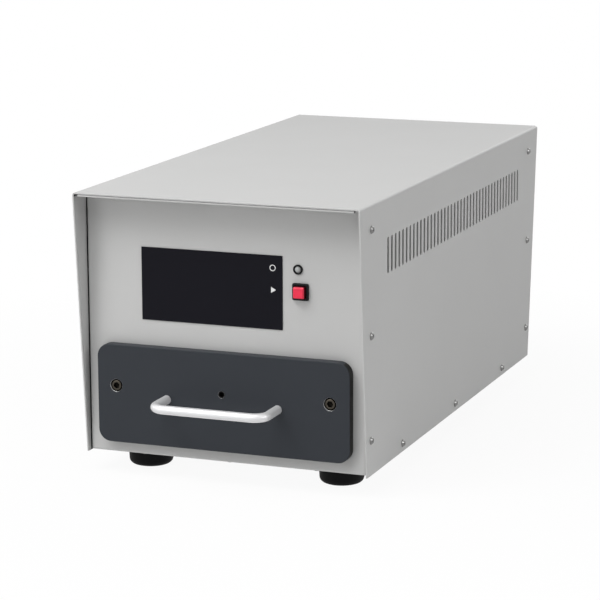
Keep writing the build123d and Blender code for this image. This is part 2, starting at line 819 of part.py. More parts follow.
def component_deck():
    """Sheet bridge over the coil on four legs with feet turned inwards."""
    deck = block(-deck_half, deck_half, deck_front_y, deck_rear_y, deck_top_z - deck_sheet, deck_top_z)
    spans = [(coil_front_y, block_fronts[0]), (block_fronts[0] + block_length, block_fronts[1])]
    for start, end in spans:
        y0 = start + deck_leg_gap
        y1 = end - deck_leg_gap
        leg = block(deck_half - deck_sheet, deck_half, y0, y1, floor_z, deck_top_z)
        leg += block(deck_half - deck_foot, deck_half, y0, y1, floor_z, floor_z + deck_sheet)
        for piece in both_sides(leg):
            deck += piece
    return deck


def transformer_place():
    """Where the transformer stands on the deck."""
    return Pos(transformer_side, supply_y, deck_top_z)


def transformer_core():
    """Laminated core with two windows round its middle leg."""
    core = standing_box(transformer_width, transformer_stack, transformer_height)
    window = transformer_width / 2 - 2 * transformer_leg
    height = transformer_height - 2 * transformer_leg
    cut = Box(window, transformer_stack, height)
    cut = Pos(transformer_leg + window / 2, 0, transformer_height / 2) * cut
    return transformer_place() * (core - both_sides(cut))


def transformer_winding():
    """Bobbin that fills the windows and stands out at the front and rear of the stack."""
    outer_half = transformer_width / 2 - transformer_leg - transformer_air
    depth = transformer_stack + 2 * transformer_bobbin
    height = transformer_height - 2 * transformer_leg - 2 * transformer_air
    leg = Box(2 * (transformer_leg + transformer_air), transformer_stack + 2 * transformer_air, height)
    bobbin = Box(2 * outer_half, depth, height)
    bobbin = fillet(bobbin.edges().filter_by(Axis.Z), transformer_bobbin / 2) - leg
    return transformer_place() * Pos(0, 0, transformer_height / 2) * bobbin


def heatsink():
    """Finned block for the discharge thyristor."""
    base = standing_box(heatsink_width, heatsink_depth, heatsink_base)
    pitch = (heatsink_width - heatsink_fin) / (heatsink_fins - 1)
    rise = heatsink_height - heatsink_base
    fin = Pos(0, 0, heatsink_base) * standing_box(heatsink_fin, heatsink_depth, rise)
    spots = [heatsink_fin / 2 - heatsink_width / 2 + i * pitch for i in range(heatsink_fins)]
    for x in spots:
        base += Pos(x, 0, 0) * fin
    base -= round_z(thyristor_diameter / 2 + transformer_air, heatsink_base, heatsink_height, 0, 0)
    return Pos(heatsink_side, supply_y, deck_top_z) * base


def thyristor():
    """Stud type thyristor standing in the middle of the heatsink."""
    z0 = deck_top_z + heatsink_base
    y = supply_y
    body = round_z(thyristor_diameter / 2, z0, z0 + thyristor_rise, heatsink_side, y)
    stem_top = z0 + heatsink_height
    return body + round_z(thyristor_stud / 2, z0 + thyristor_rise, stem_top, heatsink_side, y)


board_y0 = deck_front_y + board_back
board_y1 = deck_rear_y - supply_depth - board_gap
board_z = deck_top_z + board_rise


def board_corners():
    """Stand-offs of the control board, as (x, y)."""
    half = board_width / 2 - board_inset
    return [(sx * half, y) for sx in (-1, 1) for y in (board_y0 + board_inset, board_y1 - board_inset)]


def control_board():
    """Circuit board behind the front panel."""
    return block(-board_width / 2, board_width / 2, board_y0, board_y1, board_z, board_z + board_sheet)


def board_standoffs():
    """Pillars between the deck and the board."""
    return group([round_z(standoff_radius, deck_top_z, board_z, x, y) for x, y in board_corners()])


def board_parts():
    """Relay, filter can, connector and driver package on the board, each its own solid."""
    z = board_z + board_sheet
    unit = board_width / board_columns
    deep = (board_y1 - board_y0) / board_rows
    relay = block(-3 * unit, -2 * unit, board_y0 + deep, board_y0 + 3 * deep, z, z + unit)
    driver = block(-unit / 2, unit / 2, board_y0 + deep, board_y0 + 2 * deep, z, z + unit / 4)
    plug = block(unit, 2.5 * unit, board_y0 + 2.5 * deep, board_y0 + 3.5 * deep, z, z + unit / 2)
    can = round_z(unit / 3, z, z + unit, 3 * unit, board_y0 + 1.5 * deep)
    return group([relay, driver, plug, can])


def capacitors():
    """Energy store: sleeved cans standing on the pan."""
    can = round_z(can_diameter / 2, floor_z, can_top_z, 0, 0)
    can = chamfer(can.edges().sort_by(Axis.Z)[-1], can_chamfer)
    return group([Pos(x, y, 0) * can for x, y in can_spots])


def terminal_spots():
    """Two terminals on each can, one before and one behind its middle."""
    return [(x, y + side * terminal_pitch / 2) for x, y in can_spots for side in (-1, 1)]


def capacitor_terminals():
    """Screw terminals on the cans."""
    radius = terminal_diameter / 2
    return group([round_z(radius, can_top_z, terminal_top_z, x, y) for x, y in terminal_spots()])


def bus_bars():
    """Straps that join the front terminals of each row, and the rear ones."""
    reach = can_pitch / 2 + terminal_diameter / 2
    half = bus_width / 2
    z0, z1 = terminal_top_z, terminal_top_z + bus_thickness
    ys = [y for x, y in terminal_spots() if x > 0]
    return group([block(-reach, reach, y - half, y + half, z0, z1) for y in ys])


def capacitor_bracket():
    """Plate with a hole round each can, on two side walls with feet turned out."""
    half = can_pitch / 2 + can_diameter / 2 + bracket_margin
    y0 = can_spots[0][1] - can_diameter / 2 - bracket_margin
    y1 = can_spots[-1][1] + can_diameter / 2 + bracket_margin
    top = floor_z + bracket_rise
    plate = block(-half, half, y0, y1, top - bracket_sheet, top)
    radius = can_diameter / 2 + bracket_air
    plate -= [round_z(radius, top - bracket_sheet, top, x, y) for x, y in can_spots]
    wall = block(half - bracket_sheet, half, y0, y1, floor_z, top)
    wall += block(half - bracket_sheet, half + bracket_foot, y0, y1, floor_z, floor_z + bracket_sheet)
    for piece in both_sides(wall):
        plate += piece
    return plate


def bleeder_resistors():
    """Two clad resistors on the outside of the bracket's side walls."""
    half = can_pitch / 2 + can_diameter / 2 + bracket_margin
    y0 = can_spots[0][1] - can_diameter / 2
    z0 = floor_z + bracket_rise / 2 - resistor_width / 2
    body = block(half, half + resistor_height, y0, y0 + resistor_length, z0, z0 + resistor_width)
    body = chamfer(body.edges().filter_by(Axis.Y).group_by(Axis.X)[-1], resistor_chamfer)
    return group(both_sides(body))


def legend_plate():
    """Printed overlay beside the lamp and the button."""
    outline = RectangleRounded(legend_width, legend_height, legend_corner)
    plate = Rot(90, 0, 0) * extrude(outline, legend_thickness)
    return Pos(legend_left + legend_width / 2, front_y, legend_mid_z) * plate


def lamp_bezel():
    """Clip ring that holds the lamp in the panel."""
    back = front_y + lamp_body_length
    ring = round_y(lamp_ring / 2, front_y - lamp_ring_proud, front_y, lamp_x, lamp_z)
    ring = chamfer(ring.edges().sort_by(Axis.Y)[0], lamp_ring_proud / 2)
    ring += round_y(lamp_body / 2, front_y, back, lamp_x, lamp_z)
    return ring - round_y(lamp_diameter / 2, front_y - lamp_ring_proud, back, lamp_x, lamp_z)


def ready_lamp():
    """Domed lamp in its ring."""
    radius = lamp_diameter / 2
    dome_y = front_y - lamp_proud + radius
    lamp = round_y(radius, dome_y, front_y + lamp_body_length, lamp_x, lamp_z)
    return lamp + Pos(lamp_x, dome_y, lamp_z) * Sphere(radius)


def bezel_body_half():
    """Half the width of the button's body behind its bezel."""
    return button_square / 2 + button_air + bezel_wall


def button_block(half, y0, y1):
    """A square block of a given half width round the button's axis."""
    return block(button_x - half, button_x + half, y0, y1, button_z - half, button_z + half)


def button_bezel():
    """Square bezel and body, hollow where the cap slides."""
    face = front_y - bezel_proud
    flange = fillet(button_block(bezel_square / 2, face, front_y).edges().filter_by(Axis.Y), bezel_corner)
    body = button_block(bezel_body_half(), front_y, front_y + bezel_length)
    back = face + button_depth + button_travel + button_air
    return flange + body - button_block(button_square / 2 + button_air, face, back)


def button_nut():
    """Nut behind the panel that clamps the button's body."""
    y0 = front_y + panel_sheet
    y1 = y0 + bezel_nut_thickness
    return button_block(bezel_nut / 2, y0, y1) - button_block(bezel_body_half() + screw_air, y0, y1)


def start_button():
    """Square cap that stands before its bezel."""
    face = front_y - bezel_proud - button_proud
    cap = button_block(button_square / 2, face, face + button_depth)
    return fillet(cap.faces().sort_by(Axis.Y)[0].edges(), bezel_corner)


def fan_corners():
    """The fan's four screws, as (x, z)."""
    half = fan_screw_pitch / 2
    return [(sx * half, fan_z + sz * half) for sx in (-1, 1) for sz in (-1, 1)]


def fan_corner_places():
    """The same four places in the fan's own plane."""
    half = fan_screw_pitch / 2
    return [Pos(x, y) for x in (-half, half) for y in (-half, half)]


def fan_housing():
    """Square frame with a round duct, and a motor plate held by four struts."""
    corner = (fan_square - fan_screw_pitch) / 2
    frame = RectangleRounded(fan_square, fan_square, corner) - Circle(fan_duct / 2)
    hole = Circle(fan_screw_shank / 2 + screw_air)
    frame -= [place * hole for place in fan_corner_places()]
    frame = extrude(frame, fan_depth)
    bars = Rectangle(fan_duct + fan_strut / 2, fan_strut) + Rectangle(fan_strut, fan_duct + fan_strut / 2)
    frame += extrude(bars + Circle(fan_hub / 2), fan_back)
    shaft = fan_back + fan_rotor_air + fan_rotor_depth
    frame += Pos(0, 0, shaft / 2) * Cylinder(fan_shaft / 2, shaft)
    return Pos(0, fan_front_y, fan_z) * Rot(-90, 0, 0) * frame


def fan_rotor():
    """Hub with pitched blades on the fan's shaft."""
    tip = fan_duct / 2 - fan_tip_air
    hub = Cylinder(fan_hub / 2, fan_rotor_depth)
    span = tip - fan_hub / 2 + fan_blade_thickness
    chord = fan_rotor_depth / math.sin(math.radians(fan_blade_pitch))
    blade = Rot(90 - fan_blade_pitch, 0, 0) * Box(span, fan_blade_thickness, chord)
    blade = Pos(tip - span / 2, 0, 0) * blade
    wheel = hub
    for i in range(fan_blades):
        wheel += Rot(0, 0, 360 * i / fan_blades) * blade
    wheel &= Cylinder(tip, fan_rotor_depth)
    wheel -= Cylinder(fan_shaft / 2 + bush_fit, fan_rotor_depth)
    y = fan_front_y + fan_back + fan_rotor_air + fan_rotor_depth / 2
    return Pos(0, y, fan_z) * Rot(-90, 0, 0) * wheel


def fan_guard():
    """Flat finger guard of rings and spokes with a lug at each screw."""
    step = fan_duct / 2 / guard_rings
    guard = Circle(guard_hub / 2)
    for i in range(1, guard_rings + 1):
        radius = i * step
        guard += Circle(radius) - Circle(radius - guard_ring_width)
    diagonal = math.hypot(fan_screw_pitch, fan_screw_pitch)
    for angle in (45, 135):
        guard += Rot(0, 0, angle) * Rectangle(diagonal, guard_spoke)
    guard += [place * Circle(guard_lug / 2) for place in fan_corner_places()]
    guard -= [place * Circle(fan_screw_shank / 2 + screw_air) for place in fan_corner_places()]
    return Pos(0, rear_y, fan_z) * Rot(-90, 0, 0) * extrude(guard, guard_sheet)


def fan_screws():
    """Screws through guard and panel into the fan's frame."""
    length = guard_sheet + panel_sheet + fan_depth / 2
    piece = Rot(-90, 0, 0) * screw(fan_screw_shank, length, fan_screw_head, fan_screw_rise)
    return group([Pos(x, rear_y + guard_sheet, z) * piece for x, z in fan_corners()])


def inlet_screw_spots():
    """The inlet's two screws across its flange."""
    return [inlet_x - inlet_screw_pitch / 2, inlet_x + inlet_screw_pitch / 2]


def inlet_outline(wall):
    """The mouth's outline with two cut corners above, widened by a wall."""
    outline = Rectangle(inlet_mouth_width + 2 * wall, inlet_mouth_height + 2 * wall)
    return chamfer(outline.vertices().group_by(Axis.Y)[-1], inlet_mouth_chamfer)


def power_inlet():
    """Three pin mains inlet: flange, body and a rimmed mouth with two cut corners."""
    flange = RectangleRounded(inlet_flange_width, inlet_flange_height, inlet_flange_corner)
    half = inlet_screw_pitch / 2
    flange -= [Pos(x, 0) * Circle(inlet_screw_shank / 2 + screw_air) for x in (-half, half)]
    body = extrude(flange, inlet_flange_sheet)
    body += extrude(Rectangle(inlet_width - 2 * screw_air, inlet_height - 2 * screw_air), -inlet_depth)
    body += extrude(inlet_outline(inlet_rim_wall), inlet_face)
    body -= Pos(0, 0, inlet_face) * extrude(inlet_outline(0), -inlet_mouth_depth)
    return inlet_place() * body


def inlet_place():
    """The inlet's frame: X to the left seen from behind, Y up, Z out of the rear panel."""
    return Pos(inlet_x, rear_y, inlet_z) * Rot(-90, 0, 0) * Rot(0, 0, 180)


def inlet_pins():
    """Three flat pins standing in the mouth."""
    length = inlet_mouth_depth - inlet_pin_recess
    pin = standing_box(inlet_pin_sheet, inlet_pin_width, length)
    floor = inlet_face - inlet_mouth_depth
    spots = [(-inlet_pin_pitch, -inlet_pin_sheet), (0, inlet_pin_sheet), (inlet_pin_pitch, -inlet_pin_sheet)]
    return group([inlet_place() * Pos(x, y, floor) * pin for x, y in spots])


def inlet_screws():
    """Screws through the inlet's flange and the panel."""
    piece = Rot(-90, 0, 0) * screw(inlet_screw_shank, inlet_screw_length, inlet_screw_head, inlet_screw_rise)
    return group([Pos(x, rear_y + inlet_flange_sheet, inlet_z) * piece for x in inlet_screw_spots()])


def rocker_frame():
    """Frame and body of the power switch, hollow where the paddle swings."""
    place = Pos(inlet_x, rear_y, rocker_z) * Rot(-90, 0, 0)
    frame = standing_box(rocker_frame_width, rocker_frame_height, rocker_frame_sheet)
    body = Box(rocker_body_width - 2 * screw_air, rocker_body_height - 2 * screw_air, rocker_body_depth)
    body = Pos(0, 0, -rocker_body_depth / 2) * body
    reach = math.hypot(rocker_length / 2, rocker_rise)
    hollow = Box(rocker_width + 2 * rocker_air, 2 * (reach + rocker_air), 2 * (reach + rocker_air))
    hollow = Pos(0, 0, rocker_frame_sheet - rocker_sink) * hollow
    shell = place * (frame + body - hollow)
    pin = rocker_width / 2 + rocker_air + rocker_pin
    radius = rocker_pin / 2 + rocker_pin_fit
    return shell - round_x(radius, inlet_x - pin, inlet_x + pin, rocker_pivot_y, rocker_z)


def power_rocker():
    """Paddle with a shallow dip, tilted to one side on its two pins."""
    half = rocker_length / 2
    heel = rocker_heel / 2
    face = [(-half, rocker_rise), (0, rocker_dip), (half, rocker_rise)]
    back = [(heel, -rocker_heel_depth), (-heel, -rocker_heel_depth)]
    outline = Polygon(*face, *back, align=None)
    paddle = extrude(Plane.YZ * outline, rocker_width / 2, both=True)
    paddle = Rot(-rocker_swing / 2, 0, 0) * Rot(-90, 0, 0) * paddle
    paddle = Pos(inlet_x, rocker_pivot_y, rocker_z) * paddle
    pin = rocker_width / 2 + rocker_pin
    return paddle + round_x(rocker_pin / 2, inlet_x - pin, inlet_x + pin, rocker_pivot_y, rocker_z)


def save(name, shape):
    """Write one node."""
    export_step(shape, os.path.join("parts", name + ".step"))


right_screws = cover_screws()
nodes = {
    "cover": cover(),
    "cover_screws_right": right_screws,
    "cover_screws_left": group([mirror(right_screws, about=Plane.YZ)]),
    "front_panel": front_panel(),
    "rear_panel": rear_panel(),
    "base_pan": base_pan(),
    "pan_screws": pan_screws(),
    "feet": feet(),
    "foot_screws": foot_screws(),
    "drawer_front": drawer_front(),
    "drawer_cap_screws": drawer_cap_screws(),
    "drawer_handle": drawer_handle(),
    "handle_screws": handle_screws(),
    "guide_rods": guide_rods(),
    "rod_collars": rod_collars(),
    "media_tray": media_tray(),
    "tray_pad": tray_pad(),
    "tray_screws": tray_screws(),
    "coil_former": coil_former(),
    "coil_winding": coil_winding(),
    "coil_screws": coil_screws(),
    "bearing_blocks": bearing_blocks(),
    "rod_bushes": rod_bushes(),
    "block_screws": block_screws(),
    "component_deck": component_deck(),
    "transformer_core": transformer_core(),
    "transformer_winding": transformer_winding(),
    "heatsink": heatsink(),
    "thyristor": thyristor(),
    "control_board": control_board(),
    "board_standoffs": board_standoffs(),
    "board_parts": board_parts(),
    "capacitors": capacitors(),
    "capacitor_terminals": capacitor_terminals(),
    "bus_bars": bus_bars(),
    "capacitor_bracket": capacitor_bracket(),
    "bleeder_resistors": bleeder_resistors(),
    "legend_plate": legend_plate(),
    "lamp_bezel": lamp_bezel(),
    "ready_lamp": ready_lamp(),
    "button_bezel": button_bezel(),
    "button_nut": button_nut(),
    "start_button": start_button(),
    "fan_housing": fan_housing(),
    "fan_rotor": fan_rotor(),
    "fan_guard": fan_guard(),
    "fan_screws": fan_screws(),
    "power_inlet": power_inlet(),
    "inlet_pins": inlet_pins(),
    "inlet_screws": inlet_screws(),
    "rocker_frame": rocker_frame(),
    "power_rocker": power_rocker(),
}

os.makedirs("parts", exist_ok=True)
for name, shape in nodes.items():
    save(name, shape)
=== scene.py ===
import json
import math

import bpy
import numpy as np
from bpy.props import FloatProperty, FloatVectorProperty, IntProperty, PointerProperty
from bpy.types import Operator, Panel, PropertyGroup
from mathutils import Matrix, Vector


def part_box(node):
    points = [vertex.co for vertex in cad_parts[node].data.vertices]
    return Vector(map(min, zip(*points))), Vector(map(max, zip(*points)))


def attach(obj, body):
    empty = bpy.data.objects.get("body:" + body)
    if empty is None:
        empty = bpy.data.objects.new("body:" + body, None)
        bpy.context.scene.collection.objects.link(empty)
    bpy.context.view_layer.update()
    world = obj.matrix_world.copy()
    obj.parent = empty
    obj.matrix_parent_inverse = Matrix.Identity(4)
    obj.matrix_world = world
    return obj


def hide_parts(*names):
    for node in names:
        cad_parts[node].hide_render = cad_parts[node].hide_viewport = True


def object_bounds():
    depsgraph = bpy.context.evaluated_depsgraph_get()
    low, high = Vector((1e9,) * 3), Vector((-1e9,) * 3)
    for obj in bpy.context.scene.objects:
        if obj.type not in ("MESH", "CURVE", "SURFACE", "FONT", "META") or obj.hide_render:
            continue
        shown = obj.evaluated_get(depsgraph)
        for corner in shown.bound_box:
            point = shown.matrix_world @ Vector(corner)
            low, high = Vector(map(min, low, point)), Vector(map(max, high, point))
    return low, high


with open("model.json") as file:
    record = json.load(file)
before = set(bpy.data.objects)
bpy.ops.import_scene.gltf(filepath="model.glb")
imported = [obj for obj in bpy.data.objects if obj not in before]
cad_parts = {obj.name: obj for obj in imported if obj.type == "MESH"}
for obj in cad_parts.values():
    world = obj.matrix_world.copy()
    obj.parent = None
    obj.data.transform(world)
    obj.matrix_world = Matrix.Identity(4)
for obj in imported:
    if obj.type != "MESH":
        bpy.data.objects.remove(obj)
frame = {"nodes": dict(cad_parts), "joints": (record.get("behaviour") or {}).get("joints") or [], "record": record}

bl_info = {
    "name": "Drawer degausser",
    "version": (1, 0, 0),
    "blender": (4, 5, 0),
    "location": "3D View > Sidebar > Degausser",
    "description": "Finishes, small pieces and studio of a bench machine that wipes hard drives",
    "category": "Object",
}

CAD_LOW, CAD_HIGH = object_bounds()
NODES = frame["nodes"]
RECORD = frame["record"]
SLOT_OF = {row["node"]: row["material_slot"] for row in RECORD["subparts"]}
BODY_OF = {node: body for body, nodes in RECORD["behaviour"]["bodies"].items() for node in nodes}
SLOT_COLOURS = {row["slot"]: row["base_color"] for row in RECORD["materials"]}
JOINTS = {joint["name"]: joint for joint in frame["joints"]}

MM = 0.001
SHARP = math.radians(38)
GOLDEN_TURN = math.pi * (3 - math.sqrt(5))
# Keeps a lining clear of the wall that it lines
HAIR = 0.01 * MM
SCREW_AROUND = 72
WHITE = (1, 1, 1, 1)
LEFT, RIGHT = (-1, 0, 0), (1, 0, 0)
FRONT, BACK = (0, -1, 0), (0, 1, 0)
DOWN, UP = (0, 0, -1), (0, 0, 1)

# Finishes by the record's slot, filled by the first operator
FINISHES = {}


# Properties

def colour(name, description, default):
    """A colour in linear light."""
    return FloatVectorProperty(name=name, description=description, subtype="COLOR", size=3,
                               min=0.0, max=1.0, default=default)


def length(name, description, default):
    """A length in metres."""
    return FloatProperty(name=name, description=description, unit="LENGTH", min=0.0, precision=5,
                         default=default)


def turn(name, description, default):
    """An angle in radians."""
    return FloatProperty(name=name, description=description, unit="ROTATION", default=default)


def level(name, description, default):
    """A plain number."""
    return FloatProperty(name=name, description=description, min=0.0, default=default)


class SurfaceColours(PropertyGroup):
    """Colours that show from outside"""
    case: colour("Case", "Powder coat of the cover and the panels", (0.53, 0.53, 0.525))
    # Painted shade: near-black on the case's inside, seen through its gaps and slots, and in the hoods' corner
    # reliefs
    primer: colour("Primer", "Thin dark primer inside the case", (0.016, 0.016, 0.017))
    drawer: colour("Drawer", "Powder coat of the drawer front", (0.0345, 0.0385, 0.0455))
    # Painted shade: near-black on the drawer front's side and bottom edges, which lie in shade; the lit top edge
    # keeps the coat
    drawer_edge: colour("Drawer edge", "Bare edge of the drawer front's plate", (0.0075, 0.0068, 0.0058))
    bored: colour("Bored edge", "Metal at the mouths of the drawer front's holes", (0.30, 0.30, 0.30))
    handle: colour("Handle", "Satin film on the handle's metal", (0.76, 0.76, 0.77))
    legend: colour("Legend plate", "Satin film of the plate beside the controls", (0.0062, 0.0060, 0.0095))
    mark: colour("Marks", "Printed marks on plate and rocker", (0.80, 0.80, 0.80))
    button: colour("Button", "Cap of the start button", (0.84, 0.026, 0.072))
    lens: colour("Lamp", "Unlit lens of the ready lamp", (0.42, 0.43, 0.43))
    rubber: colour("Feet", "Rubber of the feet", (0.0045, 0.0045, 0.0050))
    plastic: colour("Plastic", "Moulded black of bezels, fan and switch", (0.0080, 0.0080, 0.0088))
    screw: colour("Screws", "Zinc of the cover's screws", (0.20, 0.20, 0.197))
    socket_screw: colour("Socket screws", "Oxide on the drawer's two screws", (0.060, 0.053, 0.043))


class PieceSizes(PropertyGroup):
    """Sizes of the small pieces that the frame doesn't give"""
    paint_grain: length("Paint grain", "Distance between bumps of the powder coat", 1.1 * MM)
    # This skin and the four relief sizes below bound the painted shade inside the case and in its corner reliefs
    paint_skin: length("Paint skin", "Depth from the outside at which the primer starts", 1.2 * MM)
    relief_width: length("Relief width", "Reach of a strip's corner relief from the side", 5.8 * MM)
    relief_drop: length("Relief drop", "Reach of a strip's corner relief from the top", 3.9 * MM)
    relief_start: length("Relief start", "Primer in a relief from this far behind the hood's edge", 0.6 * MM)
    relief_end: length("Relief end", "Primer in a relief to this far behind the hood's edge", 8.0 * MM)
    # Behind this depth and below the top edge, the drawer front's edges take painted shade
    edge_coat: length("Edge coat", "How far the drawer front's coat reaches round its edge", 0.9 * MM)
    top_coat: length("Top coat", "Height of the drawer front's coated top edge", 1.5 * MM)
    # A socket screw takes painted shade behind this depth from its face, in the socket and round the head
    worn_face: length("Worn face", "Depth of a socket screw's worn face", 0.25 * MM)
    crown_share: level("Crown", "Radius of a screw's crown, as a share of the head's", 0.62)
    shoulder_share: level("Shoulder", "Height of a crown's edge, as a share of the head's rise", 0.86)
    rim_share: level("Rim", "Height of a screw's rim, as a share of the head's rise", 0.20)
    cross_width: level("Cross width", "Arm of a screw's recess, as a share of the head's radius", 0.24)
    cross_reach: level("Cross reach", "Reach of a screw's recess, as a share of the head's radius", 0.56)
    cross_depth: level("Cross depth", "Depth of a screw's recess, as a share of the head's rise", 0.7)
    hexagon: length("Socket", "Width of the hexagon socket across its flats", 5.0 * MM)
    hexagon_depth: length("Socket depth", "Depth of the hexagon socket", 3.0 * MM)
    bore_air: length("Counterbore air", "Between a socket screw's head and its counterbore", 1.2 * MM)
    bore_lining: length("Bore lining", "Bare metal that shows at a bored hole's mouth", 0.3 * MM)
    sight_hole: length("Sight hole", "Diameter of the hole in the drawer front's middle", 5.0 * MM)
    # Width of the black ring round the sight hole: painted shade of a wider hole
    bush_flange: length("Bush flange", "Width of the black bush's flange round the sight hole", 0.7 * MM)
    handle_bend: length("Handle bend", "Radius of the handle's bends on its centre line", 12.5 * MM)
    foot_round: length("Foot round", "Rounding of a foot's lower edge", 5.5 * MM)
    foot_taper: length("Foot taper", "How much a foot's radius falls from top to table", 1.0 * MM)
    foot_recess: length("Foot recess", "Radius of the screw's recess under a foot", 6.0 * MM)
    cap_dish: length("Button dish", "Hollow in the middle of the button's face", 0.3 * MM)
    cap_bevel: length("Button bevel", "Bevel round the button's face", 1.3 * MM)
    hub_share: level("Hub", "Radius of the fan's hub, as a share of its blades' reach", 0.468)
    duct_air: length("Duct air", "How much wider the fan's duct is than its blades", 2.4 * MM)
    guard_eye: length("Guard eyes", "Radius of the fan guard's eyes", 2.9 * MM)
    wire: length("Guard wire", "Thickness of the fan guard's wire", 1.5 * MM)
    guard_rings: IntProperty(name="Guard rings", description="Rings of the fan guard", min=2, default=5)
    blades: IntProperty(name="Blades", description="Blades of the fan", min=3, default=7)
    mark_inset: length("Mark inset", "From the legend plate's right edge to its marks", 9.5 * MM)
    mark_thickness: length("Mark thickness", "Height of printed marks", 0.06 * MM)


class StudioSettings(PropertyGroup):
    """Camera, lights and floor"""
    camera_place: FloatVectorProperty(name="Camera", description="Place of the camera", subtype="TRANSLATION",
                                      size=3, default=(0.86484, -2.31022, 0.63983))
    yaw: turn("Yaw", "Camera turned to the left of straight ahead", 0.3666)
    pitch: turn("Pitch", "Camera turned down", 0.2056)
    roll: turn("Roll", "Camera rolled", -0.0038)
    lens: FloatProperty(name="Lens", description="Focal length", unit="CAMERA", default=149.887)
    ambient: level("Ambient", "Light from all round", 0.10)
    overhead: level("Overhead", "Power of the large light above and before the machine", 34.0)
    key: level("Key", "Power of the smaller light above, to the left", 13.0)
    front: level("Front", "Power of the light before the machine, to the left", 21.5)
    right: level("Right", "Power of the light to the right", 19.5)
    rear: level("Rear", "Power of the light behind", 18.0)
    left: level("Left", "Power of the light to the left", 9.0)
    floor: colour("Floor", "Pale floor", (0.86, 0.86, 0.86))
    floor_glow: level("Floor glow", "Share of the floor's look under the machine that isn't shaded", 0.90)
    floor_reach: length("Floor reach", "Distance from the middle at which the floor is plain white", 0.75)


# Surfaces worked out as arrays

def skin(rings, closed=False):
    """Quads between neighbouring closed rings of points, an array of rows, columns and places.

    A closed skin joins its last ring to its first. An open one ends in fans to the middles of its end rings.
    """
    rows, around = rings.shape[:2]
    index = np.arange(rows * around).reshape(rows, around)
    ahead = np.roll(index, -1, axis=1)
    quads = np.stack([index, ahead, np.roll(ahead, -1, axis=0), np.roll(index, -1, axis=0)], axis=-1)
    points = rings.reshape(-1, 3)
    if closed:
        return points, quads.reshape(-1, 4).tolist()
    middles = rings[[0, -1]].mean(axis=1)
    first = np.stack([ahead[0], index[0], np.full(around, rows * around)], axis=-1)
    last = np.stack([index[-1], ahead[-1], np.full(around, rows * around + 1)], axis=-1)
    faces = quads[:-1].reshape(-1, 4).tolist() + first.tolist() + last.tolist()
    return np.concatenate([points, middles]), faces


def join(surfaces):
    """Several surfaces as one."""
    points = []
    faces = []
    count = 0
    for part_points, part_faces in surfaces:
        points.append(part_points)
        faces += [[corner + count for corner in face] for face in part_faces]
        count += len(part_points)
    return np.concatenate(points), faces


def moved(surface, place, axis=UP, spin=0.0):
    """A surface spun about Z, with its Z turned to an axis and its origin put at a place."""
    points, faces = surface
    tilt = Vector(UP).rotation_difference(Vector(axis)).to_matrix()
    matrix = np.array(tilt @ Matrix.Rotation(spin, 3, "Z"))
    return points @ matrix.T + np.asarray(place, float), faces


def circle(around):
    """Angles of a full turn."""
    return np.linspace(0, 2 * np.pi, around, endpoint=False)


def arc(centre, radius, start, end, steps=9):
    """A round stretch of an outline: centre + radius (cos a, sin a), with a in degrees from start to end."""
    angle = np.radians(np.linspace(start, end, steps))
    return np.stack([centre[0] + radius * np.cos(angle), centre[1] + radius * np.sin(angle)], axis=-1)


def about_z(radius, angle, height):
    """Points from their radius, angle and height about Z: x = r cos a, y = r sin a, z = h."""
    return np.stack(np.broadcast_arrays(radius * np.cos(angle), radius * np.sin(angle), height), axis=-1)


def lathe(outline, around=64, closed=False):
    """An outline of (radius, height), listed upwards, turned about Z."""
    radius, height = np.concatenate([np.atleast_2d(stretch) for stretch in outline]).T[..., None]
    return skin(about_z(radius, circle(around), height), closed)


def tube(path, radius, normal, around=20, closed=False):
    """A round section carried along a path in a plane: p + r (cos a * side + sin a * normal)."""
    if closed:
        run = np.roll(path, -1, axis=0) - np.roll(path, 1, axis=0)
    else:
        run = np.gradient(path, axis=0)
    run /= np.linalg.norm(run, axis=1, keepdims=True)
    normal = np.asarray(normal, float)
    side = np.cross(normal, run)
    angle = circle(around)[None, :, None]
    rings = path[:, None] + radius * (np.cos(angle) * side[:, None] + np.sin(angle) * normal)
    return skin(rings, closed)


def rounded(half_width, half_height, power, around=48):
    """A rounded rectangle, as the curve |x / w|^n + |y / h|^n = 1 with points at even angles."""
    angle = circle(around)
    cos, sin = np.cos(angle), np.sin(angle)
    reach = (np.abs(cos) ** power + np.abs(sin) ** power) ** (-1 / power)
    return np.stack([half_width * reach * cos, half_height * reach * sin], axis=-1)


def square(half, power):
    """A square with rounded corners."""
    return rounded(half, half, power)


def stacked(sections, closed=False):
    """Outlines at given heights, as one skin: each section is (outline, height)."""
    rings = [np.column_stack([outline, np.full(len(outline), height)]) for outline, height in sections]
    return skin(np.array(rings), closed)


def smooth_step(share):
    """0 below 0, 1 above 1, and 3 s^2 - 2 s^3 between."""
    share = np.clip(share, 0, 1)
    return share * share * (3 - 2 * share)


# Pieces

def node_points(node):
    """A frame node's vertices at rest."""
    mesh = NODES[node].data
    flat = np.empty(3 * len(mesh.vertices), np.float32)
    mesh.vertices.foreach_get("co", flat)
    return flat.reshape(-1, 3).astype(float)


def node_middle(node):
    """Middle of a frame node's box."""
    low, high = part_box(node)
    return np.array((low + high) / 2)


def add_piece(name, surface, body, slot, finish=None, stands_for=()):
    """Make a surface an object at the origin that rides on a body and takes a slot's finish."""
    points, faces = surface
    mesh = bpy.data.meshes.new(name)
    mesh.from_pydata(points.tolist(), [], faces)
    if mesh.validate():
        raise RuntimeError(name + " has faces that can't be used")
    mesh.shade_smooth()
    mesh.set_sharp_from_angle(angle=SHARP)
    mesh.materials.append(finish or FINISHES[slot])
    piece = bpy.data.objects.new(name, mesh)
    bpy.context.scene.collection.objects.link(piece)
    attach(piece, body)
    if stands_for:
        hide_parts(*stands_for)
    return piece


def add_like(node, surface):
    """A piece that stands for one frame node, with its body and slot."""
    return add_piece(node + "_piece", surface, BODY_OF[node], SLOT_OF[node], stands_for=[node])


